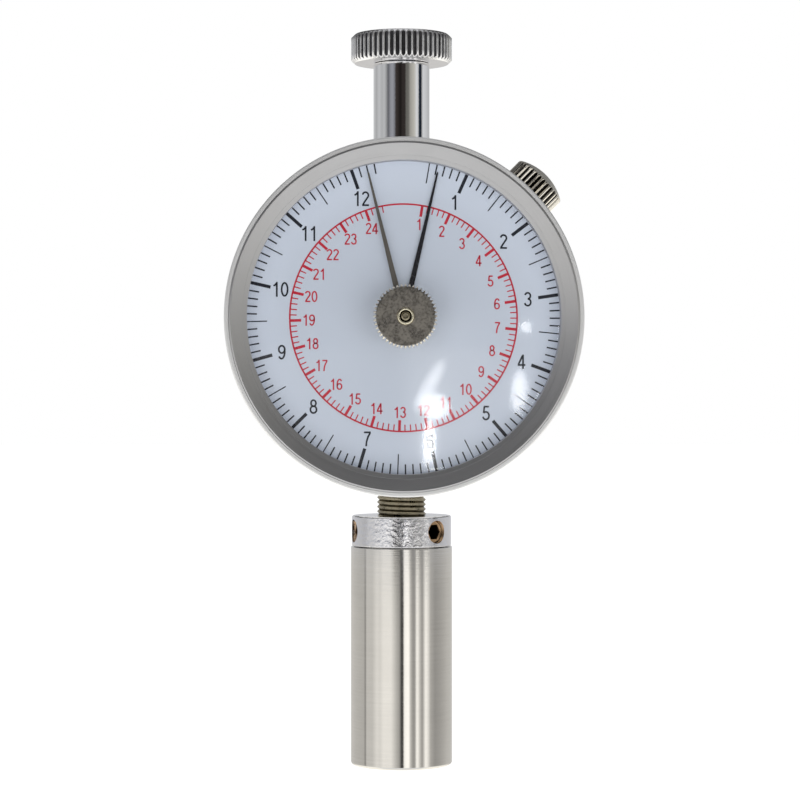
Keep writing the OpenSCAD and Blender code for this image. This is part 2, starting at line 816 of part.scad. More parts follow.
// A slim hand that points along +Y, with a round hub and a short tail
module hand(hub_r, hole_r) {
    base_w = 1;
    tip_w = 0.3;
    linear_extrude(hand_t)
        difference() {
            union() {
                circle(r = hub_r);
                polygon([[-base_w / 2, -4.2], [base_w / 2, -4.2], [base_w / 2, 4],
                    [tip_w / 2, hand_len - 0.4], [0, hand_len], [-tip_w / 2, hand_len - 0.4],
                    [-base_w / 2, 4]]);
            }
            circle(r = hole_r);
        }
}

module live_hand() {
    color([0.05, 0.05, 0.06]) on_dial()
        translate([0, 0, live_hand_f])
            rotate([0, 0, -live_angle])
                hand(hand_hub_r, hand_spindle_r + fit_gap);
}

module marker_hand() {
    color([0.4, 0.38, 0.36]) on_dial()
        translate([0, 0, marker_hand_f])
            rotate([0, 0, -marker_angle])
                hand(hand_hub_r + 0.6, marker_shaft_r + fit_gap);
}

module centre_knob() {
    color("darkkhaki") on_dial() difference() {
        union() {
            translate([0, 0, hub_f])
                knurled_disc(hub_d / 2, hub_t, hub_knurls, 0.28, 0.25, 0.25);
            translate([0, 0, marker_hand_f - 0.1])
                cylinder(r = marker_shaft_r, h = hub_f - marker_hand_f + 0.5);
        }
        translate([0, 0, marker_hand_f - 0.2])
            cylinder(r = 0.7 + fit_gap, h = case_d);
        translate([0, 0, hub_f + hub_t - 0.3])
            cylinder(r = 1.35, h = 1);
    }
}

// Hollow rivet through the centre knob
module knob_rivet() {
    head_f = hub_f + hub_t - 0.3;
    rivet_low_f = marker_hand_f + 0.2;
    color("khaki") on_dial() difference() {
        union() {
            translate([0, 0, rivet_low_f])
                cylinder(r = 0.7, h = head_f - rivet_low_f + 0.2);
            translate([0, 0, head_f])
                cylinder(r = 1.3, h = 0.6);
        }
        translate([0, 0, head_f - 0.5])
            cylinder(r = 0.45, h = 2);
        translate([0, 0, head_f + 0.3])
            cylinder(r = 0.95, h = 1);
    }
}

// Washer that holds the marker hand up against the lens
module friction_washer() {
    low_f = marker_hand_f + hand_t;
    color("goldenrod") on_dial()
        translate([0, 0, low_f])
            tube(hand_hub_r + 0.6, marker_shaft_r + fit_gap, apex_f - lens_t - 0.08 - low_f);
}

module reset_button() {
    button_r = reset_d / 2;
    dome_r = (button_r * button_r + reset_dome * reset_dome) / (2 * reset_dome);
    dome_half = asin(button_r / dome_r);
    top = reset_low + reset_h;
    edge = 0.2;
    color("darkkhaki") on_reset() difference() {
        union() {
            intersection() {
                translate([0, 0, reset_low])
                    linear_extrude(reset_h + reset_dome)
                        polygon(knurl_outline(button_r, reset_knurls, 0.3));
                rotate_extrude()
                    polygon([[0, reset_low], [button_r - 0.15, reset_low], [button_r, reset_low + 0.15],
                        [button_r, top - edge], [button_r - edge, top], [0, top]]);
            }
            translate([0, 0, top - 0.01])
                rotate_extrude()
                    polygon(concat([[0, 0]],
                        [for (i = [8 : -1 : 0])
                            [(button_r - edge) / button_r * dome_r * sin(dome_half * i / 8),
                                reset_dome - dome_r + dome_r * cos(dome_half * i / 8)]]));
        }
        // Blind hole for the pin
        translate([0, 0, reset_low - 1])
            cylinder(r = reset_pin_r + fit_gap, h = 1 + reset_h - 0.6);
    }
}

module reset_pin() {
    top = reset_low + reset_h - 0.8;
    color("silver") on_reset()
        translate([0, 0, reset_pin_in])
            cylinder(r = reset_pin_r, h = top - reset_pin_in);
}

module reset_clip() {
    color("dimgray") on_reset()
        translate([0, 0, reset_bush_in - 0.8])
            tube(reset_pin_r + 0.9, reset_pin_r + fit_gap, 0.6);
}

module reset_spring() {
    low = body_r - 1.35;
    length = reset_low - low - 0.05;
    mean_r = reset_pin_r + 0.15 + reset_wire / 2;
    color("slategray") on_reset()
        translate([0, 0, low])
            coil(mean_r, length, 3, reset_wire);
    echo("least gap of the reset spring to itself, mm",
        coil_gap(mean_r, length - reset_wire, 3, reset_wire));
}

// Knurled knob with a plug that turns in the stem
module top_knob() {
    bevel = 0.5;
    color("gainsboro") translate([0, 0, knob_z]) {
        knurled_disc(knob_d / 2, knob_h, knob_knurls, 0.38, bevel, bevel);
        translate([0, 0, -plug_len])
            cylinder(r = stem_bore_r - 0.08, h = plug_len + 1);
    }
}

case_body();
rear_cover();
cover_screws();
bezel();
lens();
lens_gasket();
spacer_ring();
dial();
front_plate();
middle_plate();
back_plate();
pillars();
pillar_screws();
movement_screws();
stem();
upper_bush();
threaded_nose();
lock_collar();
grub_screws();
grip_ring();
reset_bush();
plunger_rod();
plunger_rack();
stop_clip();
spring_seat();
main_spring();
plunger_tip();
guard_cap();
rack_pinion();
drive_gear();
centre_pinion();
live_hand();
marker_hand();
centre_knob();
knob_rivet();
friction_washer();
reset_button();
reset_pin();
reset_clip();
reset_spring();
top_knob();
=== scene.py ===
# %% [markdown]
# # A dial force gauge for fruit
#
# This lesson dresses a finished CAD model. The model says where every piece is, how big it is and
# how it moves, and it arrives as a fixed frame. Blender adds what CAD leaves out: rounded edges that
# catch the light, fine flutes, a true screw thread, a printed dial and the finish of each metal.

# %% Load the fixed frame
import json
import math

import bmesh
import bpy
from mathutils import Matrix, Vector


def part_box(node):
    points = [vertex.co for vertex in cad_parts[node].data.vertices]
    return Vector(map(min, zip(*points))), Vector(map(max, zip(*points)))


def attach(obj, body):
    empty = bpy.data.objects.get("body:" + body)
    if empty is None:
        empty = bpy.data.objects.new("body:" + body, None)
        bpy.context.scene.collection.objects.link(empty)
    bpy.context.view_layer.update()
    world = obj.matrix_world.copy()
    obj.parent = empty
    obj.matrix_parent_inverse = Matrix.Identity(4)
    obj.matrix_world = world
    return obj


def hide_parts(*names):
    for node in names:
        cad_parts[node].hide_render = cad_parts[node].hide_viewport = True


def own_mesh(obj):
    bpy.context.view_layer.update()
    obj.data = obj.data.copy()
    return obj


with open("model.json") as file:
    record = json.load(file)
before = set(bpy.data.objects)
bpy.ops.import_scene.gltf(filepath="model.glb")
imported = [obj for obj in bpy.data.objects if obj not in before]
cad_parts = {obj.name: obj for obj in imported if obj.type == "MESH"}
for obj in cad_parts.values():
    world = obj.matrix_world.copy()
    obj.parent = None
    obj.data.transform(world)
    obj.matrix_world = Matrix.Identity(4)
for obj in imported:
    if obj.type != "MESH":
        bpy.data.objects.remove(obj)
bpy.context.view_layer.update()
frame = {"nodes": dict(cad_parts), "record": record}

scene = bpy.context.scene
print("pieces in the frame:", len(frame["nodes"]))

# %% [markdown]
# ## Sizes and axes
#
# All sizes below are millimetres. The gauge has three axes that pieces are turned about: the plunger
# axis, the dial axis and the axis of the reset button. A piece is drawn on its own axis, along Z, and
# one matrix then scales it to metres and puts it in place. On the dial axis, Z is the depth in front
# of the plunger axis. On the reset axis, Z is the distance from the dial centre.

# %% Read the main sizes from the frame
def box_mm(node):
    """Lowest and highest corner of a CAD node, in millimetres."""
    low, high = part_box(node)
    return low * 1000, high * 1000


def depths(node):
    """How far in front of the plunger axis a node starts and ends, in millimetres."""
    low, high = box_mm(node)
    return -high.y, -low.y


def half_width(node):
    low, high = box_mm(node)
    return (high.x - low.x) / 2


def raised(height):
    return Matrix.Translation((0, 0, height))


dial_z = sum(corner.z for corner in box_mm("dial")) / 2
ON_AXIS = Matrix.Scale(0.001, 4)
ON_DIAL = ON_AXIS @ raised(dial_z) @ Matrix.Rotation(math.radians(90), 4, "X")
ON_RESET = ON_AXIS @ raised(dial_z) @ Matrix.Rotation(math.radians(45), 4, "Y")
case_r = half_width("case_body")
bezel_r = half_width("bezel")
dial_r = half_width("dial")
window_r = dial_r - 1
inner_r = half_width("rear_cover") + 0.1
dial_face = depths("dial")[1]
print(f"dial centre at z = {dial_z:.2f}, case radius {case_r:.2f}, dial face at depth {dial_face:.2f}")

# %% [markdown]
# ## Camera
#
# The photograph looks at the gauge level and almost straight on. The curved ends of the knob and the
# cap show that the lens is 62 mm above the foot and 425 mm from the plunger. The camera stands a
# little to the left, because the dial and its knob are shifted right of the plunger.

# %% Place the camera
camera_height = 62.4
camera_distance = 425
camera_swing = math.radians(2.15)
axis_offset = 0.26
scale_px_mm = 5.824
image_px = 800
sensor_mm = 36

look = Vector((math.sin(camera_swing), math.cos(camera_swing), 0))
right = Vector((math.cos(camera_swing), -math.sin(camera_swing), 0))
camera_data = bpy.data.cameras.new("camera")
camera_data.sensor_width = sensor_mm
camera_data.lens = scale_px_mm * camera_distance / image_px * sensor_mm
camera_data.clip_start = 0.01
camera = bpy.data.objects.new("camera", camera_data)
camera.location = (-look * camera_distance - right * axis_offset + Vector((0, 0, camera_height))) / 1000
camera.rotation_euler = look.to_track_quat("-Z", "Y").to_euler()
scene.collection.objects.link(camera)
scene.camera = camera
print(f"focal length {camera_data.lens:.1f} mm")

# %% [markdown]
# ## Node expressions
#
# Shader and geometry trees are easier to read as sums and products than as a picture of boxes. A
# `Wire` stands for one socket, and arithmetic on it adds Math nodes. A `Graph` adds any other node:
# it takes the node's type, its settings, and the values or wires of its sockets.

# %% Wires and graphs
class Wire:
    """A socket of a node tree, on which arithmetic adds Math nodes."""

    def __init__(self, graph, socket):
        self.graph = graph
        self.socket = socket

    def maths(self, operation, *others):
        return self.graph.node("ShaderNodeMath", {"operation": operation}, [self, *others])[0]

    def __add__(self, other):
        return self.maths("ADD", other)

    def __sub__(self, other):
        return self.maths("SUBTRACT", other)

    def __mul__(self, other):
        return self.maths("MULTIPLY", other)

    def __truediv__(self, other):
        return self.maths("DIVIDE", other)

    def __neg__(self):
        return self.maths("MULTIPLY", -1)

    def __rsub__(self, other):
        return self.graph.node("ShaderNodeMath", {"operation": "SUBTRACT"}, [other, self])[0]

    __radd__ = __add__
    __rmul__ = __mul__


class Made:
    """A node that was just added; its outputs are wires, by name or number."""

    def __init__(self, graph, node):
        self.graph = graph
        self.node = node

    def __getitem__(self, key):
        return Wire(self.graph, self.node.outputs[key])


class Graph:
    """A node tree that is built one node at a time."""

    def __init__(self, tree):
        self.tree = tree

    def node(self, kind, settings=None, inputs=None):
        made = self.tree.nodes.new(kind)
        for name, value in (settings or {}).items():
            if name == "stops":
                self.set_stops(made.color_ramp, value)
            else:
                setattr(made, name, value)
        pairs = enumerate(inputs) if isinstance(inputs, list) else (inputs or {}).items()
        for key, value in pairs:
            self.feed(made.inputs[key], value)
        return Made(self, made)

    def set_stops(self, ramp, stops):
        while len(ramp.elements) > 1:
            ramp.elements.remove(ramp.elements[-1])
        for i, (place, colour) in enumerate(stops):
            element = ramp.elements[0] if i == 0 else ramp.elements.new(place)
            element.position = place
            element.color = (*colour, 1)

    def feed(self, socket, value):
        if isinstance(value, Wire):
            self.tree.links.new(value.socket, socket)
        elif value is not None:
            wide = socket.type == "RGBA" and len(value) == 3
            socket.default_value = (*value, 1) if wide else value

    def xyz(self, vector):
        made = self.node("ShaderNodeSeparateXYZ", inputs=[vector])
        return made[0], made[1], made[2]

    def vector(self, x, y, z):
        return self.node("ShaderNodeCombineXYZ", inputs=[x, y, z])[0]

    def blend(self, share, low, high):
        """A colour between low and high."""
        return self.node("ShaderNodeMix", {"data_type": "RGBA"}, {0: share, 6: low, 7: high})[2]

    def smooth(self, value, start, end, low=0, high=1):
        """A smooth step from low to high while value goes from start to end."""
        settings = {"interpolation_type": "SMOOTHSTEP"}
        return self.node("ShaderNodeMapRange", settings, [value, start, end, low, high])[0]

    def noise(self, vector, scale, detail=2, rough=0.5):
        inputs = {"Vector": vector, "Scale": scale, "Detail": detail, "Roughness": rough}
        return self.node("ShaderNodeTexNoise", inputs=inputs)[0]


print("helpers: Wire, Made, Graph")

# %% [markdown]
# ## Finishes
#
# Every finish reads object coordinates, so a pattern stays on its piece when the piece moves. A turned
# part has fine lines round its axis, so its noise is stretched round the axis: it changes fast along
# the axis or along the radius, and slowly round it. The same lines feed the roughness and a small
# bump, which is what makes metal look machined.

# %% A finish, and coordinates on each axis
finishes = {}


class Finish(Graph):
    """A material built on one Principled shader, and kept by name in finishes."""

    def __init__(self, name):
        self.material = bpy.data.materials.new(name)
        self.material.use_nodes = True
        finishes[name] = self.material
        super().__init__(self.material.node_tree)
        self.shader = self.tree.nodes["Principled BSDF"]
        self.place = self.node("ShaderNodeTexCoord")["Object"]

    def sets(self, **values):
        for name, value in values.items():
            self.feed(self.shader.inputs[name.replace("_", " ")], value)

    def bump(self, height, strength, distance=0.00005):
        inputs = {"Strength": strength, "Distance": distance, "Height": height}
        self.feed(self.shader.inputs["Normal"], self.node("ShaderNodeBump", inputs=inputs)[0])

    def along_plunger(self):
        """Angle round, height and radius for a piece on the plunger axis."""
        x, y, z = self.xyz(self.place)
        return x.maths("ARCTAN2", y), z, (x * x + y * y).maths("SQRT")

    def along_reset(self):
        """Angle round, height and radius for a piece on the axis of the reset button."""
        x, y, z = self.xyz(self.place)
        up = z - dial_z / 1000
        side, along = (x - up) * math.sqrt(0.5), (x + up) * math.sqrt(0.5)
        return side.maths("ARCTAN2", y), along, (side * side + y * y).maths("SQRT")

    def along_dial(self):
        """Angle round, depth and radius for a piece on the dial axis."""
        x, y, z = self.xyz(self.place)
        up = z - dial_z / 1000
        return x.maths("ARCTAN2", up), y, (x * x + up * up).maths("SQRT")


print("finish helper ready")

# %% Turned metals
def turned_metal(name, colour, rough, axis, line_mm=0.12, bump=0.25, stain=0.06, metallic=1.0):
    """Metal with fine turning lines round one of the gauge's axes."""
    finish = Finish(name)
    angle, along, radius = getattr(finish, axis)()
    lines = finish.vector(angle * 0.9, along * (1000 / line_mm), radius * (1000 / line_mm))
    scratch = finish.noise(lines, 1, 3, 0.6)
    cloud = finish.noise(finish.place, 160, 3, 0.55)
    dark = tuple(channel * (1 - stain * 3) for channel in colour)
    finish.sets(Base_Color=finish.blend(cloud * 0.5 + scratch * 0.5, dark, colour), Metallic=metallic,
                Roughness=finish.smooth(scratch, 0.2, 0.8, rough * 0.8, rough * 1.25))
    finish.bump(scratch, bump)


turned_metal("satin_case", (0.95, 0.95, 0.94), 0.5, "along_dial", line_mm=0.2, bump=0.2, metallic=0.78)
turned_metal("satin_bezel", (0.68, 0.68, 0.68), 0.42, "along_dial", line_mm=0.15, bump=0.25)
turned_metal("brushed_steel", (0.88, 0.86, 0.815), 0.085, "along_plunger", line_mm=0.2, bump=0.05,
             stain=0.08)
turned_metal("machined_steel", (0.66, 0.66, 0.66), 0.26, "along_plunger", bump=0.2)
turned_metal("brass", (0.74, 0.55, 0.24), 0.28, "along_dial", bump=0.15)
turned_metal("dark_steel", (0.1, 0.1, 0.11), 0.4, "along_plunger", bump=0.15)
print("turned metals:", ", ".join(finishes))

# %% [markdown]
# Chrome plate has no lines. It follows the surface below it, which is never quite flat, so it gets a
# faint low bump. Cheap nickel plate is duller and warmer, with small pits and stains.

# %% Plated metals
def chrome_plate(name, colour, rough, ripple, ripple_mm, ripple_m=0.00005):
    """Bright plate over a ripple that is ripple_mm wide and ripple_m metres deep."""
    finish = Finish(name)
    wave = finish.noise(finish.place, 1000 / ripple_mm, 3, 0.6)
    haze = finish.noise(finish.place, 90, 3, 0.6)
    finish.sets(Base_Color=finish.blend(haze, tuple(c * 0.93 for c in colour), colour), Metallic=1.0,
                Roughness=finish.smooth(haze, 0.3, 0.75, rough * 0.7, rough * 1.5))
    finish.bump(wave, ripple, ripple_m)


def nickel_plate(name, colour, rough, mottle):
    """Warm nickel with pits and stains."""
    finish = Finish(name)
    patch = finish.noise(finish.place, 700, 4, 0.65)
    grain = finish.noise(finish.place, 3200, 3, 0.6)
    spots = finish.smooth(patch * 0.6 + grain * 0.4, 0.36, 0.62)
    dull = tuple(c * (1 - mottle) for c in colour)
    finish.sets(Base_Color=finish.blend(spots, dull, colour), Metallic=1.0,
                Roughness=finish.smooth(patch, 0.3, 0.7, rough * 0.75, rough * 1.4))
    finish.bump(grain * 0.5 + patch * 0.5, mottle * 0.7)


chrome_plate("chrome", (0.88, 0.88, 0.89), 0.035, 0.1, 0.3)
chrome_plate("collar_chrome", (0.88, 0.88, 0.9), 0.04, 1.0, 0.75, 0.00009)
nickel_plate("nickel_plate", (0.8, 0.74, 0.6), 0.2, 0.12)
nickel_plate("thread_nickel", (0.5, 0.45, 0.33), 0.3, 0.4)
print("plated metals added:", len(finishes))

# %% [markdown]
# The fluted knobs are plated too, with bright crests, and their grooves are painted dark: painted shade
# where little light gets in. Geometry Nodes will mark how deep each point lies in a groove, and the finish
# reads that mark. The flat end of a knob has a look of its own.

# %% Finish of a fluted knob
def knurled(name, axis, face, crest, groove, end, rough, mottle, end_metal=1):
    """Plated flutes with painted shade in their grooves; face is where the flat end starts and is full, in mm
    along the axis.
    """
    finish = Finish(name)
    along = getattr(finish, axis)()[1]
    depth = finish.node("ShaderNodeAttribute", {"attribute_name": "groove"})["Fac"]
    patch = finish.noise(finish.place, 500, 4, 0.65)
    grain = finish.noise(finish.place, 2600, 3, 0.6)
    spots = finish.smooth(patch * 0.5 + grain * 0.5, 0.38, 0.6)
    on_end = finish.smooth(along, face[0] / 1000, face[1] / 1000)
    groove_shade_mask = finish.smooth(depth, 0.35, 0.6)
    polished = finish.blend(spots, tuple(c * (1 - mottle / 3) for c in crest), crest)
    # Painted shade: the grooves take a near-black copy of the plate, as if little light got in.
    painted_groove_shade = finish.blend(grain, tuple(c * 0.3 for c in groove), groove)
    plain = finish.blend(spots, tuple(c * (1 - mottle) for c in end), end)
    metal = finish.smooth(on_end, 0, 1, 1, end_metal)
    side = finish.blend(groove_shade_mask, polished, painted_groove_shade)
    shine = finish.smooth(on_end, 0, 1, rough[0], rough[1])
    finish.sets(Base_Color=finish.blend(on_end, side, plain), Metallic=metal,
                Roughness=shine * finish.smooth(patch, 0.3, 0.7, 0.8, 1.2))
    finish.bump(grain * 0.5 + patch * 0.5, mottle * 0.6)


reset_face = 33.88
hub_back, hub_front = depths("centre_knob")
stem_top = box_mm("stem")[1].z
knob_z = stem_top + 0.05
# The second colour of each knob is painted shade for its grooves.
knurled("knob_chrome", "along_plunger", (knob_z + 0.03, knob_z), (1.0, 1.0, 1.0),
        (0.16, 0.16, 0.17), (0.88, 0.88, 0.89), (0.32, 0.05), 0.1)
knurled("button_nickel", "along_reset", (reset_face - 0.03, reset_face + 0.06), (1.0, 0.95, 0.84),
        (0.02, 0.016, 0.012), (0.52, 0.5, 0.45), (0.2, 0.5), 0.1, 0.45)
knurled("hub_nickel", "along_dial", (-hub_front + 0.08, -hub_front + 0.02), (1.0, 0.95, 0.82),
        (0.07, 0.06, 0.05), (0.46, 0.43, 0.38), (0.35, 0.32), 0.55)
print("fluted finishes added")

# %% [markdown]
# Two small finishes change with the distance from an axis: the hollow rivet is a darker olive in its bore,
# and the bronzed screws are near-black in their sockets, which lie nearer to the plunger axis; that black
# is painted shade in the deep hex holes.

# %% Finishes of the hollow rivet and the bronzed screws
def two_tone(name, axis, radii, inner, outer, grain_size, rough, bump):
    """Metal with the pair of colours inner up to the first of two radii and outer past the second."""
    finish = Finish(name)
    radius = getattr(finish, axis)()[2]
    grain = finish.noise(finish.place, grain_size, 3, 0.6)
    outside = finish.smooth(radius, radii[0] / 1000, radii[1] / 1000)
    colour = finish.blend(outside, finish.blend(grain, *inner), finish.blend(grain, *outer))
    finish.sets(Base_Color=colour, Metallic=1.0, Roughness=rough)
    finish.bump(grain, bump)


rolled_ring = (1.0, 0.94, 0.72)
# The rivet is a darker olive within 0.89 mm of the dial axis: in its bore and on its pin.
two_tone("rivet_nickel", "along_dial", (0.89, 0.97), ((0.25, 0.225, 0.16), (0.5, 0.45, 0.32)),
         (rolled_ring, rolled_ring), 2400, 0.25, 0.08)
# Painted shade: the screws are near-black nearer the plunger axis, inside their hex sockets.
two_tone("bronzed_steel", "along_plunger", (7.2, 7.7), ((0.01, 0.007, 0.005), (0.05, 0.03, 0.02)),
         ((0.36, 0.235, 0.13), (0.72, 0.47, 0.26)), 1400, 0.3, 0.3)
print("rivet and screw finishes added")

# %% [markdown]
# The painted and moulded pieces are plain, but not flat: the dial paint has a faint mottle and a
# slight orange peel, the hands are enamelled, and rubber is dull and dusty.

# %% Paint, plastic, rubber and ink
def painted(name, colour, rough, fleck=0.04, peel_mm=0.5, bump=0.05, metallic=0.0, painted_edge_light=1):
    """An even coat. Past 1, the edge factor paints light onto it towards the dial's edge, as painted light
    against the bezel's shade, where less of the room is seen.
    """
    finish = Finish(name)
    peel = finish.noise(finish.place, 1000 / peel_mm, 2)
    cloud = finish.noise(finish.place, 60, 3)
    low = tuple(c * (1 - fleck) for c in colour)
    coat = finish.blend(cloud * 0.6 + peel * 0.4, low, colour)
    # Painted light: the coat turns lighter towards the dial's edge, to cancel the shade that the bezel casts
    # there.
    if painted_edge_light != 1:
        radius = finish.along_dial()[2]
        painted_light_start, painted_light_full = 17 / 1000, 26.5 / 1000
        edge = finish.smooth(radius, painted_light_start, painted_light_full)
        coat = finish.blend(edge, coat, tuple(min(1, c * painted_edge_light) for c in colour))
    finish.sets(Base_Color=coat, Metallic=metallic,
                Roughness=finish.smooth(cloud, 0.3, 0.7, rough * 0.9, rough * 1.1))
    finish.bump(peel, bump)


# The dial paint is made lighter at its edge: painted light against the bezel's shade.
painted("dial_paint", (0.565, 0.605, 0.675), 0.45, fleck=0.03, painted_edge_light=1.2)
painted("black_ink", (0.008, 0.01, 0.02), 0.5, fleck=0.2)
painted("red_ink", (0.55, 0.012, 0.035), 0.5, fleck=0.08)
painted("black_hand", (0.01, 0.01, 0.013), 0.25, fleck=0.2)
painted("grey_hand", (0.16, 0.145, 0.125), 0.35, fleck=0.15, metallic=0.5)
painted("black_rubber", (0.02, 0.02, 0.02), 0.75, fleck=0.3, bump=0.3)
painted("grey_spacer", (0.42, 0.42, 0.45), 0.5)
print("paints added:", len(finishes))

# %% [markdown]
# The lens is nearly clear acrylic. It is mixed from a transparent and a glossy shader, and Fresnel
# gives the share that is mirrored: a few percent straight on and much more at the edge. Light isn't
# bent here, so the inner faces use the inverse index, which gives them the same share as the outer ones.

# %% Clear lens
def lens_finish():
    finish = Finish("clear_lens")
    finish.tree.nodes.remove(finish.shader)
    output = next(n for n in finish.tree.nodes if n.type == "OUTPUT_MATERIAL")
    haze = finish.noise(finish.place, 300, 3)
    clear = finish.node("ShaderNodeBsdfTransparent", inputs={"Color": (0.985, 0.99, 0.995)})[0]
    gloss = finish.node("ShaderNodeBsdfGlossy", inputs={"Color": (1, 1, 1), "Roughness": 0.075})[0]
    behind = finish.node("ShaderNodeNewGeometry")["Backfacing"]
    ior = 1.33
    mirrored = finish.node("ShaderNodeFresnel", inputs={"IOR": ior + behind * (1 / ior - ior)})[0]
    share = mirrored * finish.smooth(haze, 0.2, 0.8, 0.9, 1.1)
    mixed = finish.node("ShaderNodeMixShader", inputs=[share, clear, gloss])[0]
    finish.feed(output.inputs["Surface"], mixed)


lens_finish()
print("finishes:", len(finishes))

# %% [markdown]
# ## Turned pieces
#
# Most of this gauge is made on a lathe. A turned piece is an outline of radius and height that is
# swept round an axis. Each corner of the outline may have a small fillet, because a real edge is never
# sharp, and it is the fillet that catches the light.

# %% Outline with rounded corners
guard_mm = 0.05


def filleted(corners, steps=4):
    """Points of a closed outline whose corners (radius, height, fillet) are rounded with arcs.

    One more point beside each arc keeps the shading of a long flat face flat.
    """
    count = len(corners)
    spots = [Vector(corner[:2]) for corner in corners]
    ways, halves, reaches = [], [], []
    for i, here in enumerate(spots):
        to_last = (spots[i - 1] - here).normalized()
        to_next = (spots[(i + 1) % count] - here).normalized()
        half = to_last.angle(to_next) / 2
        ways.append((to_last, to_next))
        halves.append(half)
        reaches.append(corners[i][2] / math.tan(half) if corners[i][2] else 0)
    points = []
    for i, here in enumerate(spots):
        fillet, half, reach = corners[i][2], halves[i], reaches[i]
        to_last, to_next = ways[i]
        if not fillet:
            points.append(here)
            continue
        centre = here + (to_last + to_next).normalized() * fillet / math.sin(half)
        first = here + to_last * reach - centre
        last = here + to_next * reach - centre
        start = math.atan2(first.y, first.x)
        turn = (math.atan2(last.y, last.x) - start + math.pi) % (2 * math.pi) - math.pi
        if (spots[i - 1] - here).length - reach - reaches[i - 1] > 3 * guard_mm:
            points.append(here + to_last * (reach + guard_mm))
        for k in range(steps + 1):
            a = start + turn * k / steps
            points.append(centre + Vector((math.cos(a), math.sin(a))) * fillet)
        after = (i + 1) % count
        if (spots[after] - here).length - reach - reaches[after] > 3 * guard_mm:
            points.append(here + to_next * (reach + guard_mm))
    return points


def arc_points(centre_h, radius, start_r, end_r, steps):
    """Points on a sphere round the axis, between two radii, as (radius, height)."""
    a, b = math.asin(start_r / radius), math.asin(end_r / radius)
    angles = [a + (b - a) * k / steps for k in range(steps + 1)]
    return [Vector((radius * math.sin(t), centre_h + radius * math.cos(t))) for t in angles]


print("one corner with a fillet has", len(filleted([(1, 0, 0.2), (1, 1, 0), (0, 1, 0)])) - 2, "points")

# %% Sweep the outline round the axis
def mesh_of(bm, name, outward=True):
    """The plain mesh of a finished bmesh, with its faces turned outwards unless told otherwise."""
    if outward:
        bmesh.ops.recalc_face_normals(bm, faces=bm.faces)
    mesh = bpy.data.meshes.new(name)
    bm.to_mesh(mesh)
    bm.free()
    return mesh


def ring_points(radius, count=32):
    return [(radius * math.cos(2 * math.pi * k / count), radius * math.sin(2 * math.pi * k / count))
            for k in range(count)]


def shade(mesh, angle=32):
    for polygon in mesh.polygons:
        polygon.use_smooth = True
    mesh.set_sharp_from_angle(angle=math.radians(angle))


def put(name, mesh, place, material):
    """Links a mesh drawn in millimetres as an object at the origin, with its place in its mesh."""
    mesh.transform(place)
    mesh.materials.clear()
    mesh.materials.append(finishes[material])
    made = bpy.data.objects.new(name, mesh)
    scene.collection.objects.link(made)
    return made


def turned_mesh(name, outline, segments=160):
    """A closed mesh of revolution. Points on the axis become single poles."""
    bm = bmesh.new()
    rings = []
    for r, h in outline:
        if r < 1e-6:
            rings.append([bm.verts.new((0, 0, h))])
        else:
            rings.append([bm.verts.new((*point, h)) for point in ring_points(r, segments)])
    for i, ring in enumerate(rings):
        after = rings[(i + 1) % len(rings)]
        if len(ring) == 1 and len(after) == 1:
            continue
        for k in range(segments):
            corners = [ring[k % len(ring)], ring[(k + 1) % len(ring)],
                       after[(k + 1) % len(after)], after[k % len(after)]]
            bm.faces.new(list(dict.fromkeys(corners)))
    mesh = mesh_of(bm, name)
    shade(mesh)
    return mesh


def turned(name, outline, place, material, segments=160):
    return put(name, turned_mesh(name, outline, segments), place, material)


def dress(piece, body, slot, *nodes):
    """Hangs a finished piece on its body, in place of the CAD nodes that it stands for."""
    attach(piece, body)
    if nodes:
        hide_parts(*nodes)
    print(f"{piece.name}: {len(piece.data.polygons)} faces, rides on {body}")


# %% [markdown]
# ## Holes
#
# The case and the collar have cross holes. A Boolean modifier cuts them, and its result becomes a plain
# mesh, because a piece must be final before it is hung on its body.

# %% Drill cross holes
def settled(piece):
    """Replaces a piece's mesh by what its modifiers make of it."""
    graph = bpy.context.evaluated_depsgraph_get()
    mesh = bpy.data.meshes.new_from_object(piece.evaluated_get(graph))
    piece.modifiers.clear()
    piece.data = mesh
    return piece


def cut_by(piece, tools):
    """Cuts solid tools out of a piece and throws the tools away."""
    for tool in tools:
        cut = piece.modifiers.new(tool.name, "BOOLEAN")
        cut.operation = "DIFFERENCE"
        cut.solver = "EXACT"
        cut.object = tool
    settled(piece)
    for tool in tools:
        bpy.data.objects.remove(tool)
    return piece


def drilled(piece, drills):
    """Cuts cylinders, each (radius, length, place), out of a piece."""
    tools = []
    for i, (radius, length, place) in enumerate(drills):
        outline = [(0, 0), (radius, 0), (radius, length), (0, length)]
        tools.append(turned(f"drill_{i}", outline, place, "dark_steel", 48))
    shade(cut_by(piece, tools).data)


print("drill ready")

# %% [markdown]
# ## The case
#
# The case is one turned ring with a flange at the front. The bezel sits inside the flange's rim, the
# rear cover sits in the back, and a ledge inside carries the movement. The cross holes for the stem,
# the nose and the reset bush are drilled afterwards, as they would be on a mill.

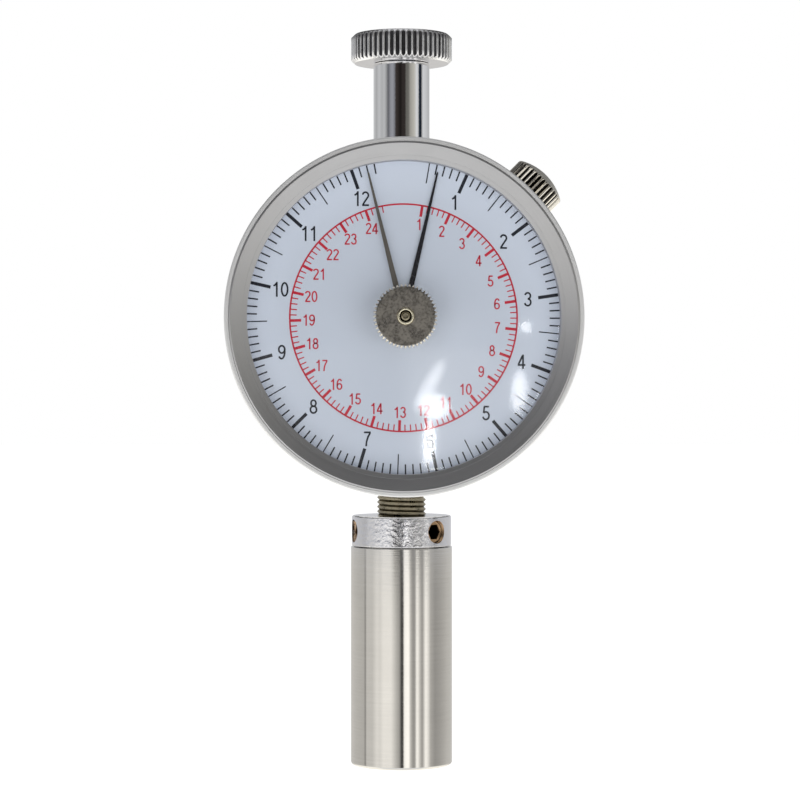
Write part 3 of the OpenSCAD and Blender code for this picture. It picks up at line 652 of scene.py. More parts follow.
# %% Case shell
case_back, case_front = depths("case_body")
cover_front = depths("rear_cover")[1]
seat_depth = depths("lens")[0]
body_r = inner_r + 2
seat_r = dial_r + 0.2
flange_back = dial_face - 1.9
ledge_r = inner_r - 4
ledge_depth = case_back + 6
recess_r = bezel_r + 0.05
case_corners = [
    (inner_r, case_back, 0.15), (body_r, case_back, 0.8), (body_r, flange_back, 0.25),
    (case_r, flange_back, 0.5), (case_r, case_front - 0.03, 0.3), (recess_r + 0.05, case_front, 0.03),
    (recess_r, case_front - 0.03, 0),
    (recess_r, seat_depth, 0), (seat_r, seat_depth, 0), (seat_r, dial_face - 0.6, 0),
    (inner_r, dial_face - 0.6, 0), (inner_r, ledge_depth, 0), (ledge_r, ledge_depth, 0),
    (ledge_r, cover_front, 0), (inner_r, cover_front, 0)]
case_shell = turned("case_shell", filleted(case_corners, 6), ON_DIAL, "satin_case", 256)
stem_r = half_width("upper_bush") + 0.95
nose_r = 4.2
across = Matrix.Rotation(math.pi, 4, "X")
bush_hole_r = 2.95
drill_len = 40
drilled(case_shell, [
    (stem_r + 0.05, drill_len, ON_AXIS @ raised(dial_z)),
    (nose_r + 0.05, drill_len, ON_AXIS @ raised(dial_z) @ across),
    (bush_hole_r, drill_len, ON_RESET)])
dress(case_shell, "case", "satin_case", "case_body")

# %% [markdown]
# The bezel is a matt cone that slopes in to the lens. A hairline near its inner edge is the step where
# the turning tool stopped, and the dark line round it is the gap between bezel and rim.

# %% Bezel
bezel_front = depths("bezel")[1]
bezel_under = depths("lens_gasket")[1]
cone_low = bezel_under + 0.5
step_r = window_r + 0.75
slope = (bezel_front - cone_low) / (bezel_r - window_r)
step_depth = cone_low + slope * (step_r - window_r)
bezel_corners = [
    (window_r, bezel_under, 0), (window_r, cone_low, 0.12), (step_r, step_depth, 0.02),
    (step_r + 0.04, step_depth + 0.05, 0.02), (bezel_r - 0.26, bezel_front, 0.04),
    (bezel_r, bezel_front - 0.1, 0), (bezel_r, seat_depth, 0), (seat_r + 0.05, seat_depth, 0),
    (seat_r + 0.05, bezel_under, 0)]
bezel_ring = turned("bezel_ring", filleted(bezel_corners, 5), ON_DIAL, "satin_bezel", 256)
dress(bezel_ring, "case", "satin_bezel", "bezel")

# %% [markdown]
# The lens is a shallow dome of even thickness. Both of its faces are parts of spheres, so the
# highlights on it bend smoothly, and the shaft of the centre knob passes through a hole at its crown.

# %% Domed lens
lens_low, lens_apex = depths("lens")
lens_thick = 1.1
lens_rise = lens_apex - lens_low - lens_thick
dome_r = (window_r * window_r + lens_rise * lens_rise) / (2 * lens_rise)
shaft_hole_r = 1.25
outer_dome = arc_points(lens_apex - dome_r, dome_r, shaft_hole_r, window_r, 40)
inner_dome = [Vector((p.x, p.y - lens_thick)) for p in outer_dome]
lens_edge = [Vector((half_width("lens"), lens_low + lens_thick)), Vector((half_width("lens"), lens_low))]
dome_lens = turned("dome_lens", outer_dome + lens_edge + inner_dome[::-1], ON_DIAL, "clear_lens", 192)
dress(dome_lens, "case", "clear_lens", "lens")

# %% [markdown]
# ## The printed dial
#
# The dial plate is a plain painted disc. Its scale is print: two rings of marks, which Geometry Nodes
# lay out, and plain numbers. Marks come in groups with one place left free after each group, so one
# tree makes the thin marks (groups of four) and the long ones (groups of one).

# %% Build a geometry tree with named inputs
def recipe(name, **sockets):
    """A geometry tree and the made node that holds its inputs."""
    tree = bpy.data.node_groups.new(name, "GeometryNodeTree")
    tree.interface.new_socket("Geometry", in_out="INPUT", socket_type="NodeSocketGeometry")
    for label, kind in sockets.items():
        tree.interface.new_socket(label.replace("_", " "), in_out="INPUT", socket_type="NodeSocket" + kind)
    tree.interface.new_socket("Geometry", in_out="OUTPUT", socket_type="NodeSocketGeometry")
    graph = Graph(tree)
    return graph, graph.node("NodeGroupInput")


def finish_recipe(graph, geometry, material):
    """Ends a tree with real geometry and its material."""
    real = graph.node("GeometryNodeRealizeInstances", inputs=[geometry])[0]
    shown = graph.node("GeometryNodeSetMaterial", inputs={"Geometry": real, "Material": material})[0]
    graph.node("NodeGroupOutput", inputs=[shown])
    return graph.tree


def grown(name, tree, blank=None, **values):
    """The plain mesh that a tree makes, from a blank mesh where it needs one."""
    piece = bpy.data.objects.new(name, blank or bpy.data.meshes.new(name))
    scene.collection.objects.link(piece)
    modifier = piece.modifiers.new(tree.name, "NODES")
    modifier.node_group = tree
    for item in tree.interface.items_tree:
        key = item.name.replace(" ", "_")
        if item.in_out == "INPUT" and key in values:
            modifier[item.identifier] = values[key]
    mesh = settled(piece).data
    bpy.data.objects.remove(piece)
    return mesh


print("recipe helpers ready")

# %% Tree for scale marks
def scale_marks_tree():
    graph, given = recipe("scale_marks", Count="Int", Group="Int", First="Float", Step="Float",
                          Outer="Float", Length="Float", Width="Float", Height="Float", Ink="Material")
    index = graph.node("GeometryNodeInputIndex")[0]
    group = given["Group"]
    full = (index / group).maths("FLOOR")
    place = full * (group + 1) + index.maths("MODULO", group)
    angle = given["First"] + place * given["Step"]
    middle = given["Outer"] - given["Length"] / 2
    where = graph.vector(angle.maths("SINE") * middle, angle.maths("COSINE") * middle, given["Height"] / 2)
    line = graph.node("GeometryNodeMeshLine", inputs={"Count": given["Count"]})[0]
    points = graph.node("GeometryNodeSetPosition", inputs={"Geometry": line, "Position": where})[0]
    size = graph.vector(given["Width"], given["Length"], given["Height"])
    bar = graph.node("GeometryNodeMeshCube", inputs={"Size": size})[0]
    turn = graph.node("FunctionNodeEulerToRotation", inputs=[graph.vector(0, 0, -angle)])[0]
    bars = graph.node("GeometryNodeInstanceOnPoints",
                      inputs={"Points": points, "Instance": bar, "Rotation": turn})[0]
    return finish_recipe(graph, bars, given["Ink"])


marks_tree = scale_marks_tree()
print("scale marks tree has", len(marks_tree.nodes), "nodes")

# %% Lay out both scales
unit_deg = 28.78
first_unit_deg = 23.9
ink_t = 0.02


def print_on_dial(name, mesh, ink):
    piece = put(name, mesh, ON_DIAL @ raised(dial_face), ink)
    dress(piece, "case", "dial_paint")


def marks(name, ink, groups):
    """One mesh of several runs of marks: (count, group, first, step, outer, length, width)."""
    bm = bmesh.new()
    for count, group, first, step, outer, length, width in groups:
        mesh = grown(name, marks_tree, Count=count, Group=group, First=math.radians(first),
                     Step=math.radians(step), Outer=outer, Length=length, Width=width, Height=ink_t,
                     Ink=finishes[ink])
        bm.from_mesh(mesh)
    print_on_dial(name, mesh_of(bm, name, outward=False), ink)


half_deg = unit_deg / 2
first_mark_deg = first_unit_deg - half_deg
fine_deg = unit_deg / 10
marks("outer_scale", "black_ink", [
    (95, 4, first_mark_deg + fine_deg, fine_deg, 26.3, 1.7, 0.24),
    (12, 1, first_mark_deg, half_deg, 26.3, 3.4, 0.19),
    (12, 1, first_unit_deg, half_deg, 26.3, 3.4, 0.55)])
marks("inner_scale", "red_ink", [
    (95, 4, first_mark_deg + fine_deg, fine_deg, 19.1, 1.15, 0.2),
    (24, 1, first_mark_deg, half_deg / 2, 19.1, 1.9, 0.46)])

# %% Red circle, dial plate and numbers
plate_back = dial_face - 0.6
dial_plate = turned("dial_plate", filleted([(1.2, plate_back, 0), (dial_r, plate_back, 0.05),
                    (dial_r, dial_face, 0.05), (1.2, dial_face, 0.03)]), ON_DIAL, "dial_paint", 192)
dress(dial_plate, "case", "dial_paint", "dial")
circle = turned("scale_circle", [(18.96, dial_face), (19.24, dial_face), (19.24, dial_face + ink_t),
                (18.96, dial_face + ink_t)], ON_DIAL, "red_ink", 192)
dress(circle, "case", "dial_paint")

# %% [markdown]
# The numbers are printed in a plain sans face. They are drawn as an engraver would cut them: each
# figure is one to three strokes of even width, on a field 1 high and 0.56 wide.

# %% Strokes of the ten figures
def bend(x, y, rx, ry, start, end, steps=14):
    """Points on an elliptic arc, with angles in degrees."""
    angles = [math.radians(start + (end - start) * k / steps) for k in range(steps + 1)]
    return [(x + rx * math.cos(a), y + ry * math.sin(a)) for a in angles]


FIGURES = {
    "0": [bend(0.28, 0.5, 0.2, 0.435, 90, 450, 24)],
    "1": [[(0.335, 0), (0.335, 1)], [(0.11, 0.74), (0.22, 0.79), (0.3, 0.89)]],
    "2": [bend(0.27, 0.725, 0.195, 0.21, 168, -28) + [(0.2, 0.27), (0.1, 0.1)],
          [(0.04, 0.065), (0.5, 0.065)]],
    "3": [bend(0.26, 0.73, 0.18, 0.205, 165, -90), bend(0.26, 0.295, 0.205, 0.23, 90, -168)],
    "4": [[(0.37, 0), (0.37, 0.97)], [(0.34, 0.9), (0.07, 0.32)], [(0.01, 0.27), (0.53, 0.27)]],
    "5": [[(0.47, 0.935), (0.12, 0.935)], [(0.165, 0.95), (0.11, 0.5)],
          bend(0.265, 0.325, 0.21, 0.26, 135, -165)],
    "6": [bend(0.28, 0.31, 0.2, 0.245, 90, 450, 24), bend(0.3, 0.46, 0.22, 0.475, 195, 42)],
    "7": [[(0.05, 0.935), (0.5, 0.935)], [(0.46, 0.9), (0.31, 0.62), (0.22, 0.32), (0.19, 0)]],
    "8": [bend(0.27, 0.725, 0.165, 0.205, 90, 450, 20), bend(0.27, 0.295, 0.205, 0.23, 90, 450, 24)],
    "9": [bend(0.27, 0.69, 0.2, 0.245, 90, 450, 24), bend(0.25, 0.54, 0.22, 0.475, 15, -138)],
}
print("figures:", " ".join(FIGURES))


# %% Lay the numbers round the dial
def add_stroke(bm, points, half_w, thick):
    """A flat band along a line, as a closed prism that stands on the dial."""
    points = [Vector(p) for p in points]
    closed = (points[0] - points[-1]).length < 1e-4
    if closed:
        points.pop()
    count = len(points)
    rings = []
    for i, here in enumerate(points):
        before = points[i - 1] if closed or i else here
        after = points[(i + 1) % count] if closed or i < count - 1 else here
        way = ((here - before).normalized() + (after - here).normalized()).normalized()
        side = Vector((-way.y, way.x)) * half_w
        corners = [(here + side, 0), (here - side, 0), (here - side, thick), (here + side, thick)]
        rings.append([bm.verts.new((p.x, p.y, z)) for p, z in corners])
    for i in range(count if closed else count - 1):
        first, second = rings[i], rings[(i + 1) % count]
        for k in range(4):
            bm.faces.new((first[k], first[(k + 1) % 4], second[(k + 1) % 4], second[k]))
    if not closed:
        bm.faces.new(rings[0][::-1])
        bm.faces.new(rings[-1])


def numbers(name, ink, count, step_deg, first_deg, radius, height, stroke):
    """A ring of upright numbers from 1 to count."""
    bm = bmesh.new()
    advance = 0.58 * height
    for n in range(1, count + 1):
        angle = math.radians(first_deg + step_deg * (n - 1))
        left = radius * math.sin(angle) - advance * len(str(n)) / 2
        foot = radius * math.cos(angle) - height / 2
        for place, figure in enumerate(str(n)):
            for line in FIGURES[figure]:
                moved = [(left + advance * place + x * height, foot + y * height) for x, y in line]
                add_stroke(bm, moved, stroke / 2, ink_t)
    print_on_dial(name, mesh_of(bm, name), ink)


numbers("outer_numbers", "black_ink", 12, unit_deg, first_unit_deg, 21.2, 2.5, 0.3)
numbers("inner_numbers", "red_ink", 24, half_deg, first_mark_deg, 15.9, 1.9, 0.24)

# %% [markdown]
# ## Hands
#
# Both hands are stamped from thin sheet. A flat curve fills its own outline, hole included, and a tiny
# bevel rounds the stamped edge. The black hand shows the reading, and the grey one is turned by the
# knob on the lens.

# %% Stamped hands
def hand_outline(hub_r, length, tail, root_w, tip_w):
    """Half circle of hub on each side of a tapered blade that points along Y."""
    side = math.asin(root_w / 2 / hub_r)
    right_arc = [math.radians(90) - side - (math.pi - 2 * side) * k / 16 for k in range(17)]
    points = [(0, length), (tip_w / 2, length - 0.4)]
    points += [(hub_r * math.cos(a), hub_r * math.sin(a)) for a in right_arc]
    points += [(root_w / 2, -tail), (-root_w / 2, -tail)]
    points += [(-hub_r * math.cos(a), hub_r * math.sin(a)) for a in reversed(right_arc)]
    points += [(-tip_w / 2, length - 0.4)]
    return points


def stamped(name, outlines, thick, edge=0.03):
    """A flat plate from closed outlines, the first with the others as its holes."""
    curve = bpy.data.curves.new(name, "CURVE")
    curve.dimensions = "2D"
    curve.fill_mode = "BOTH"
    curve.extrude = thick / 2 - edge
    curve.bevel_depth = edge
    curve.offset = -edge
    for outline in outlines:
        spline = curve.splines.new("POLY")
        spline.points.add(len(outline) - 1)
        spline.points.foreach_set("co", [c for p in outline for c in (*p, 0, 1)])
        spline.use_cyclic_u = True
    plate = bpy.data.objects.new(name, curve)
    scene.collection.objects.link(plate)
    mesh = bpy.data.meshes.new_from_object(plate)
    bpy.data.objects.remove(plate)
    return mesh


def hand(name, node, body, finish, angle_deg, hub_r, hole_r):
    back, front = depths(node)
    mesh = stamped(name, [hand_outline(hub_r, hand_len, 4.2, 1.05, 0.3), ring_points(hole_r)], front - back)
    turn = Matrix.Rotation(math.radians(-angle_deg), 4, "Z")
    place = ON_DIAL @ raised((back + front) / 2) @ turn
    piece = put(name, mesh, place, finish)
    shade(piece.data)
    dress(piece, body, finish, node)


hand_len = window_r - 0.95
hand("reading_pointer", "live_hand", "live", "black_hand", 13.1, 1.6, 0.65)
hand("marker_pointer", "marker_hand", "marker", "grey_hand", -13.8, 2.2, 1.25)

# %% [markdown]
# ## Flutes
#
# The three knobs are fluted. On a lathe the blank is turned first, and a wheel then presses grooves
# into its rim. The tree below does the same: where the groove is deeper than the blank, a point moves
# in towards the axis. Because the wheel stands at a fixed radius, the grooves run out in scallops
# on the bevels, as they do on the real knob.

# %% Tree for flutes
def flutes_tree():
    graph, given = recipe("flutes", Radius="Float", Depth="Float", Count="Float", Floor="Float",
                          Crest="Float", Low="Float", High="Float", Plate="Material")
    position = graph.node("GeometryNodeInputPosition")[0]
    x, y, z = graph.xyz(position)
    radius = (x * x + y * y).maths("SQRT")
    turn = y.maths("ARCTAN2", x) * given["Count"] / (2 * math.pi)
    across = (turn.maths("FRACT") * 2 - 1).maths("ABSOLUTE")
    flank = (given["Crest"] - across) / (given["Crest"] - given["Floor"])
    groove = flank.maths("MAXIMUM", 0).maths("MINIMUM", 1)
    wheel = given["Radius"] - given["Depth"] * groove
    inside = z.maths("GREATER_THAN", given["Low"]) * z.maths("LESS_THAN", given["High"])
    cut = (radius - wheel).maths("MAXIMUM", 0) * inside
    keep = 1 - cut / radius.maths("MAXIMUM", 0.001)
    moved = graph.vector(x * keep, y * keep, z)
    marked = graph.node("GeometryNodeStoreNamedAttribute", {"data_type": "FLOAT", "domain": "POINT"}, {
        "Geometry": given["Geometry"], "Name": "groove", "Value": cut / given["Depth"]})[0]
    shape = graph.node("GeometryNodeSetPosition", inputs={"Geometry": marked, "Position": moved})[0]
    return finish_recipe(graph, shape, given["Plate"])


fluting = flutes_tree()


def path(*legs):
    """Corners without fillets along a line: point, number of steps, point, number of steps, point."""
    corners = [(*legs[0], 0)]
    for start, steps, end in zip(legs[::2], legs[1::2], legs[2::2]):
        shares = [k / steps for k in range(1, steps)]
        corners += [(start[0] + (end[0] - start[0]) * t, start[1] + (end[1] - start[1]) * t, 0)
                    for t in shares]
        corners.append((*end, 0))
    return corners


def fluted(name, corners, count, radius, depth, flats, low, high, place, material, per_flute=8):
    """A turned blank with grooves; flats are the half widths of groove floor and crest line."""
    blank = turned_mesh(name, filleted(corners), count * per_flute)
    mesh = grown(name, fluting, blank, Radius=radius, Depth=depth, Count=float(count), Floor=flats[0],
                 Crest=flats[1], Low=low, High=high, Plate=finishes[material])
    shade(mesh, 50)
    return put(name, mesh, place, material)


print("flutes tree has", len(fluting.nodes), "nodes")

# %% [markdown]
# The top knob has a plug that turns in the stem, and a shallow turned dish in its top. Extra rings on
# the bevels let the flutes run out cleanly, and a ring close to each edge keeps the flat faces flat.

# %% Top knob
knob_low, knob_high = box_mm("top_knob")
knob_r = half_width("top_knob")
top = knob_high.z
knob_bevel = 0.6
plug_r = 3.82
knob_corners = [
    (0, knob_low.z, 0), (plug_r, knob_low.z, 0.3), (plug_r, knob_z, 0), (knob_r - 0.8, knob_z, 0),
    *path((knob_r - knob_bevel, knob_z), 6, (knob_r, knob_z + knob_bevel), 5,
          (knob_r, top - knob_bevel), 6, (knob_r - knob_bevel, top)),
    (knob_r - 0.8, top, 0), (knob_r - 1.4, top, 0.1), (knob_r - 1.7, top - 0.25, 0.1), (0, top - 0.25, 0)]
top_knob = fluted("fluted_top_knob", knob_corners, 54, knob_r, 0.4, (0.3, 0.8), knob_z - 0.01, top + 1,
                  ON_AXIS, "knob_chrome", 16)
dress(top_knob, "knob", "chrome", "top_knob")

# %% [markdown]
# The knob on the lens has a finer knurl. Its shaft passes through the lens and carries the marker
# hand, and a hollow rivet holds the stack together.

# %% Centre knob and rivet
hub_r = half_width("centre_knob")
hub_low = hub_front - 2.8
edge = 0.42
hub_corners = [
    (0, hub_back, 0), (1.2, hub_back, 0.1), (1.2, hub_low, 0), (hub_r - edge - 0.1, hub_low, 0),
    *path((hub_r - edge, hub_low), 3, (hub_r, hub_low + edge), 4, (hub_r, hub_front - edge), 4,
          (hub_r - edge, hub_front)),
    (hub_r - edge - 0.1, hub_front, 0),
    (1.45, hub_front, 0.04), (1.4, hub_front - 0.3, 0),
    (0.75, hub_front - 0.3, 0), (0.75, hub_front - 2.6, 0), (0, hub_front - 2.6, 0)]
lens_knob = fluted("lens_knob", hub_corners, 48, hub_r, 0.5, (0.2, 0.75), hub_low - 1, hub_front + 1,
                   ON_DIAL, "hub_nickel", 10)
dress(lens_knob, "marker", "worn_nickel", "centre_knob")
rivet_front = depths("knob_rivet")[1]
rivet_corners = [
    (0, hub_front - 2.4, 0), (0.7, hub_front - 2.4, 0), (0.7, hub_front - 0.3, 0),
    (1.36, hub_front - 0.3, 0), (1.36, rivet_front, 0.12), (1.0, rivet_front, 0.12),
    (0.97, rivet_front - 0.9, 0), (0.8, rivet_front - 0.9, 0), (0.74, rivet_front - 0.3, 0.12),
    (0.4, rivet_front - 0.22, 0.1), (0.3, rivet_front - 0.4, 0.05), (0, rivet_front - 0.4, 0)]
rivet = turned("hollow_rivet", filleted(rivet_corners), ON_DIAL, "rivet_nickel", 96)
dress(rivet, "marker", "nickel_plate", "knob_rivet")

# %% [markdown]
# The reset button's flutes are plain V grooves, so each ridge has one lit and one dark flank. Its end
# is a low dome, and a blind hole below takes the pin.

# %% Reset button
button_r = 4.95
button_low = 30.3
button_top = button_low + 3.55
dome_rise = 1.3
button_edge = 0.2
shoulder_r = button_r - button_edge
end_dome_r = (shoulder_r * shoulder_r + dome_rise * dome_rise) / (2 * dome_rise)
dome = [(p.x, p.y, 0) for p in arc_points(button_top + dome_rise - end_dome_r, end_dome_r, 0, shoulder_r, 12)]
side = path((button_r, button_low + 0.2), 5, (button_r, button_top - button_edge), 3,
            (shoulder_r, button_top))
button_corners = [
    (0, button_top - 0.6, 0), (1.45, button_top - 0.6, 0), (1.45, button_low, 0),
    (button_r - 0.3, button_low, 0), (button_r - 0.2, button_low, 0), *side[:-1], *dome[::-1]]
button = fluted("fluted_reset_button", button_corners, 32, button_r, 0.42, (0.1, 0.8), button_low - 1,
                button_top - 0.02, ON_RESET, "button_nickel", 20)
dress(button, "reset", "nickel_plate", "reset_button")

# %% [markdown]
# ## Stem, nose and thread
#
# The stem is a plain chrome tube with a flange inside the case. The nose has a real screw thread: a
# spiral curve with a diamond cross-section is sunk half into the core, which leaves the sharp crests
# and open grooves of a thread. The same tree makes the coil springs, with a round section.

# %% Stem
stem_low = box_mm("stem")[0].z
stem_flange_r = half_width("stem")
bore_r = half_width("upper_bush") + 0.05
stem_corners = [
    (bore_r, stem_low, 0), (stem_flange_r, stem_low, 0.1), (stem_flange_r, stem_low + 1.3, 0.1),
    (stem_r, stem_low + 1.3, 0.1), (stem_r, stem_top, 0.22), (bore_r, stem_top, 0.1)]
stem_tube = turned("chrome_stem", filleted(stem_corners, 5), ON_AXIS, "chrome", 128)
dress(stem_tube, "case", "chrome", "stem")

# %% Tree for coils
def coil_tree():
    graph, given = recipe("coil", Turns="Float", Radius="Float", Rise="Float", Wire="Float",
                          Sides="Int", Per_Turn="Int", Metal="Material")
    spiral = graph.node("GeometryNodeCurveSpiral", inputs={
        "Resolution": given["Per Turn"], "Rotations": given["Turns"], "Start Radius": given["Radius"],
        "End Radius": given["Radius"], "Height": given["Rise"]})[0]
    upright = graph.node("GeometryNodeSetCurveNormal", {"mode": "Z_UP"}, {"Curve": spiral})[0]
    section = graph.node("GeometryNodeCurvePrimitiveCircle",
                         inputs={"Resolution": given["Sides"], "Radius": given["Wire"]})[0]
    tube = graph.node("GeometryNodeCurveToMesh",
                      inputs={"Curve": upright, "Profile Curve": section, "Fill Caps": True})[0]
    return finish_recipe(graph, tube, given["Metal"])


coils = coil_tree()


def coil(name, turns, radius, rise, wire, sides, per_turn, place, material):
    mesh = grown(name, coils, Turns=float(turns), Radius=radius, Rise=rise, Wire=wire, Sides=sides,
                 Per_Turn=per_turn, Metal=finishes[material])
    if sides > 4:
        shade(mesh, 60)
    return put(name, mesh, place, material)


print("coil tree has", len(coils.nodes), "nodes")

# %% Threaded nose
nose_low, nose_high = box_mm("threaded_nose")
nose_flange_r = half_width("threaded_nose")
flange_low = nose_high.z - 1.35
nose_bore_r = 2.55
pitch = 0.8
thread_depth = 0.42
thread_top = dial_z - case_r
core_r = nose_r - thread_depth
core_corners = [
    (nose_bore_r, nose_low.z, 0), (core_r, nose_low.z, 0.1), (core_r, thread_top + 0.3, 0),
    (nose_r, thread_top + 0.4, 0), (nose_r, flange_low, 0), (nose_flange_r, flange_low, 0.1),
    (nose_flange_r, nose_high.z, 0.1), (nose_bore_r, nose_high.z, 0)]
nose_core = turned("nose_core", filleted(core_corners), ON_AXIS, "thread_nickel", 96)
dress(nose_core, "case", "nickel_plate", "threaded_nose")
turns = (thread_top - nose_low.z - 0.9) / pitch
thread = coil("nose_thread", turns, core_r, turns * pitch, thread_depth * 1.05, 4, 64,
              ON_AXIS @ raised(nose_low.z + 0.5), "thread_nickel")
dress(thread, "case", "nickel_plate")

# %% [markdown]
# Each spring gets a mesh of its own.

# %% Springs
spring_low, spring_high = box_mm("main_spring")
spring_len = spring_high.z - spring_low.z
wire_r = 0.6
main_coil = coil("main_coil", 6, half_width("main_spring") - wire_r, spring_len - 2 * wire_r,
                 wire_r, 10, 40, ON_AXIS @ raised(spring_low.z + wire_r), "dark_steel")
dress(main_coil, "case", "dark_steel", "main_spring")
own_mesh(main_coil)
small_low = 27.15
small_len = button_low - small_low - 0.05
reset_coil = coil("reset_coil", 3, 1.75, small_len - 0.4, 0.2, 8, 32,
                  ON_RESET @ raised(small_low + 0.2), "dark_steel")
dress(reset_coil, "case", "dark_steel", "reset_spring")
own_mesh(reset_coil)

# %% [markdown]
# ## Collar and guard cap
#
# The collar clamps the nose with three grub screws in cross holes, and its spigot carries a rubber
# ring that grips the cap. The collar is drilled after turning. The grub screws are one screw, copied
# round the axis by Geometry Nodes.

# %% Lock collar
collar_low, collar_high = box_mm("lock_collar")
collar_r = half_width("lock_collar")
cap_top = box_mm("guard_cap")[1].z
collar_z = cap_top + 0.05
ring_r = half_width("grip_ring")
ring_z = sum(corner.z for corner in box_mm("grip_ring")) / 2
spigot_r = ring_r - 0.02
ring_groove_r = spigot_r - 0.85
socket_r, socket_floor = nose_r + 0.05, nose_low.z - 0.05
spigot_bore_r = 3.0
grub_z = (collar_z + collar_high.z) / 2
collar_corners = [
    (spigot_bore_r, collar_low.z, 0), (spigot_r, collar_low.z, 0.2), (spigot_r, ring_z - 0.45, 0.05),
    (ring_groove_r, ring_z - 0.45, 0.2), (ring_groove_r, ring_z + 0.45, 0.2),
    (spigot_r, ring_z + 0.45, 0.05), (spigot_r, collar_z, 0.1), (collar_r, collar_z, 0.22),
    (collar_r, collar_high.z, 0.3), (socket_r, collar_high.z, 0.15), (socket_r, socket_floor, 0),
    (spigot_bore_r, socket_floor, 0)]
collar = turned("drilled_collar", filleted(collar_corners, 5), ON_AXIS, "collar_chrome", 160)
grub_angles = [43, 163, 283]


def across_collar(angle):
    turn = Matrix.Rotation(math.radians(angle - 90), 4, "Z") @ Matrix.Rotation(math.radians(90), 4, "Y")
    return ON_AXIS @ raised(grub_z) @ turn


grub_r = 1.9
drilled(collar, [(grub_r + 0.05, 12, across_collar(angle)) for angle in grub_angles])
dress(collar, "case", "chrome", "lock_collar")

# %% Tree for a ring of copies
def ring_tree():
    graph, given = recipe("ring_of_copies", Count="Int", Radius="Float", First="Float", Metal="Material")
    index = graph.node("GeometryNodeInputIndex")[0]
    angle = given["First"] + index * (2 * math.pi) / given["Count"]
    where = graph.vector(angle.maths("COSINE") * given["Radius"], angle.maths("SINE") * given["Radius"], 0)
    line = graph.node("GeometryNodeMeshLine", inputs={"Count": given["Count"]})[0]
    points = graph.node("GeometryNodeSetPosition", inputs={"Geometry": line, "Position": where})[0]
    turn = graph.node("FunctionNodeEulerToRotation", inputs=[graph.vector(0, 0, angle)])[0]
    copies = graph.node("GeometryNodeInstanceOnPoints",
                        inputs={"Points": points, "Instance": given["Geometry"], "Rotation": turn})[0]
    return finish_recipe(graph, copies, given["Metal"])


ring_copies = ring_tree()
print("ring tree has", len(ring_copies.nodes), "nodes")

# %% Grub screws and cover screws
def socket_screw(radius, length, socket_r, depth):
    """A grub screw along X with a hexagon socket in its outer end, which lies at the origin."""
    bm = bmesh.new()
    sides = 36
    rings = [[bm.verts.new((x, *point)) for point in ring_points(r, sides)]
             for r, x in ((radius - 0.15, 0), (radius, -0.15), (radius, -length))]
    hexagon = []
    for x in (0, -depth):
        corners = ring_points(socket_r, 6)
        ring = []
        for k in range(sides):
            a, b, t = corners[k // 6], corners[(k // 6 + 1) % 6], (k % 6) / 6
            ring.append(bm.verts.new((x, a[0] + (b[0] - a[0]) * t, a[1] + (b[1] - a[1]) * t)))
        hexagon.append(ring)
    chain = [hexagon[1], hexagon[0], *rings]
    for first, second in zip(chain, chain[1:]):
        for k in range(sides):
            n = (k + 1) % sides
            bm.faces.new((first[k], first[n], second[n], second[k]))
    bm.faces.new(rings[-1])
    bm.faces.new(hexagon[1])
    return mesh_of(bm, "screw")


grub_out = collar_r - 0.75
grub = grown("grub", ring_copies, socket_screw(grub_r, grub_out - nose_r - 0.1, 1.42, 2.4), Count=3,
             Radius=grub_out, First=math.radians(grub_angles[0] - 90), Metal=finishes["bronzed_steel"])
shade(grub)
grub_set = put("grub_screw_set", grub, ON_AXIS @ raised(grub_z), "bronzed_steel")
dress(grub_set, "case", "bronzed_steel", "grub_screws")


def slotted_head(radius, height, slot_w, slot_depth, shank_r, shank_len):
    """A cheese-head screw along Z with its head down, as seen from behind the case."""
    corners = [(0, shank_len, 0), (shank_r, shank_len, 0.1), (shank_r, 0, 0), (radius, 0, 0.05),
               (radius, -height, 0.15), (0, -height, 0)]
    screw = put("screw_blank", turned_mesh("screw_blank", filleted(corners), 40), Matrix(), "dark_steel")
    bm = bmesh.new()
    bmesh.ops.create_cube(bm, size=1)
    size = Matrix.Diagonal((radius * 3, slot_w, slot_depth * 2, 1))
    tool = put("slot_tool", mesh_of(bm, "slot_tool", outward=False), raised(-height) @ size, "dark_steel")
    mesh = cut_by(screw, [tool]).data
    bpy.data.objects.remove(screw)
    return mesh


screw_back, screw_front = depths("cover_screws")
head_t = 0.8
cover_screw = slotted_head(1.7, head_t, 0.5, 0.4, 0.9, screw_front - screw_back - head_t)
cover_set = grown("cover", ring_copies, cover_screw, Count=4, Radius=inner_r - 2, First=math.radians(45),
                  Metal=finishes["dark_steel"])
shade(cover_set)
cover_piece = put("cover_screw_set", cover_set, ON_DIAL @ raised(screw_back + head_t),
                  "dark_steel")
dress(cover_piece, "case", "dark_steel", "cover_screws")

# %% [markdown]
# The guard cap is a plain turned cup of brushed steel with a softly rounded foot. The plunger tip
# inside it shows when the cap comes off: a crowned end, and one groove that marks the depth to which
# it is pushed into the fruit.

# %% Guard cap
cap_r = half_width("guard_cap")
cap_floor = 2.5
cap_wall = 1.45
cap_inner_r = cap_r - cap_wall
cap_corners = [
    (0, 0, 0), (cap_r, 0, 0.5), (cap_r, cap_top, 0.14), (cap_inner_r, cap_top, 0.2),
    (cap_inner_r, cap_floor, 0.4), (0, cap_floor, 0)]
cap = turned("brushed_guard_cap", filleted(cap_corners, 6), ON_AXIS, "brushed_steel", 160)
dress(cap, "cap", "brushed_steel", "guard_cap")

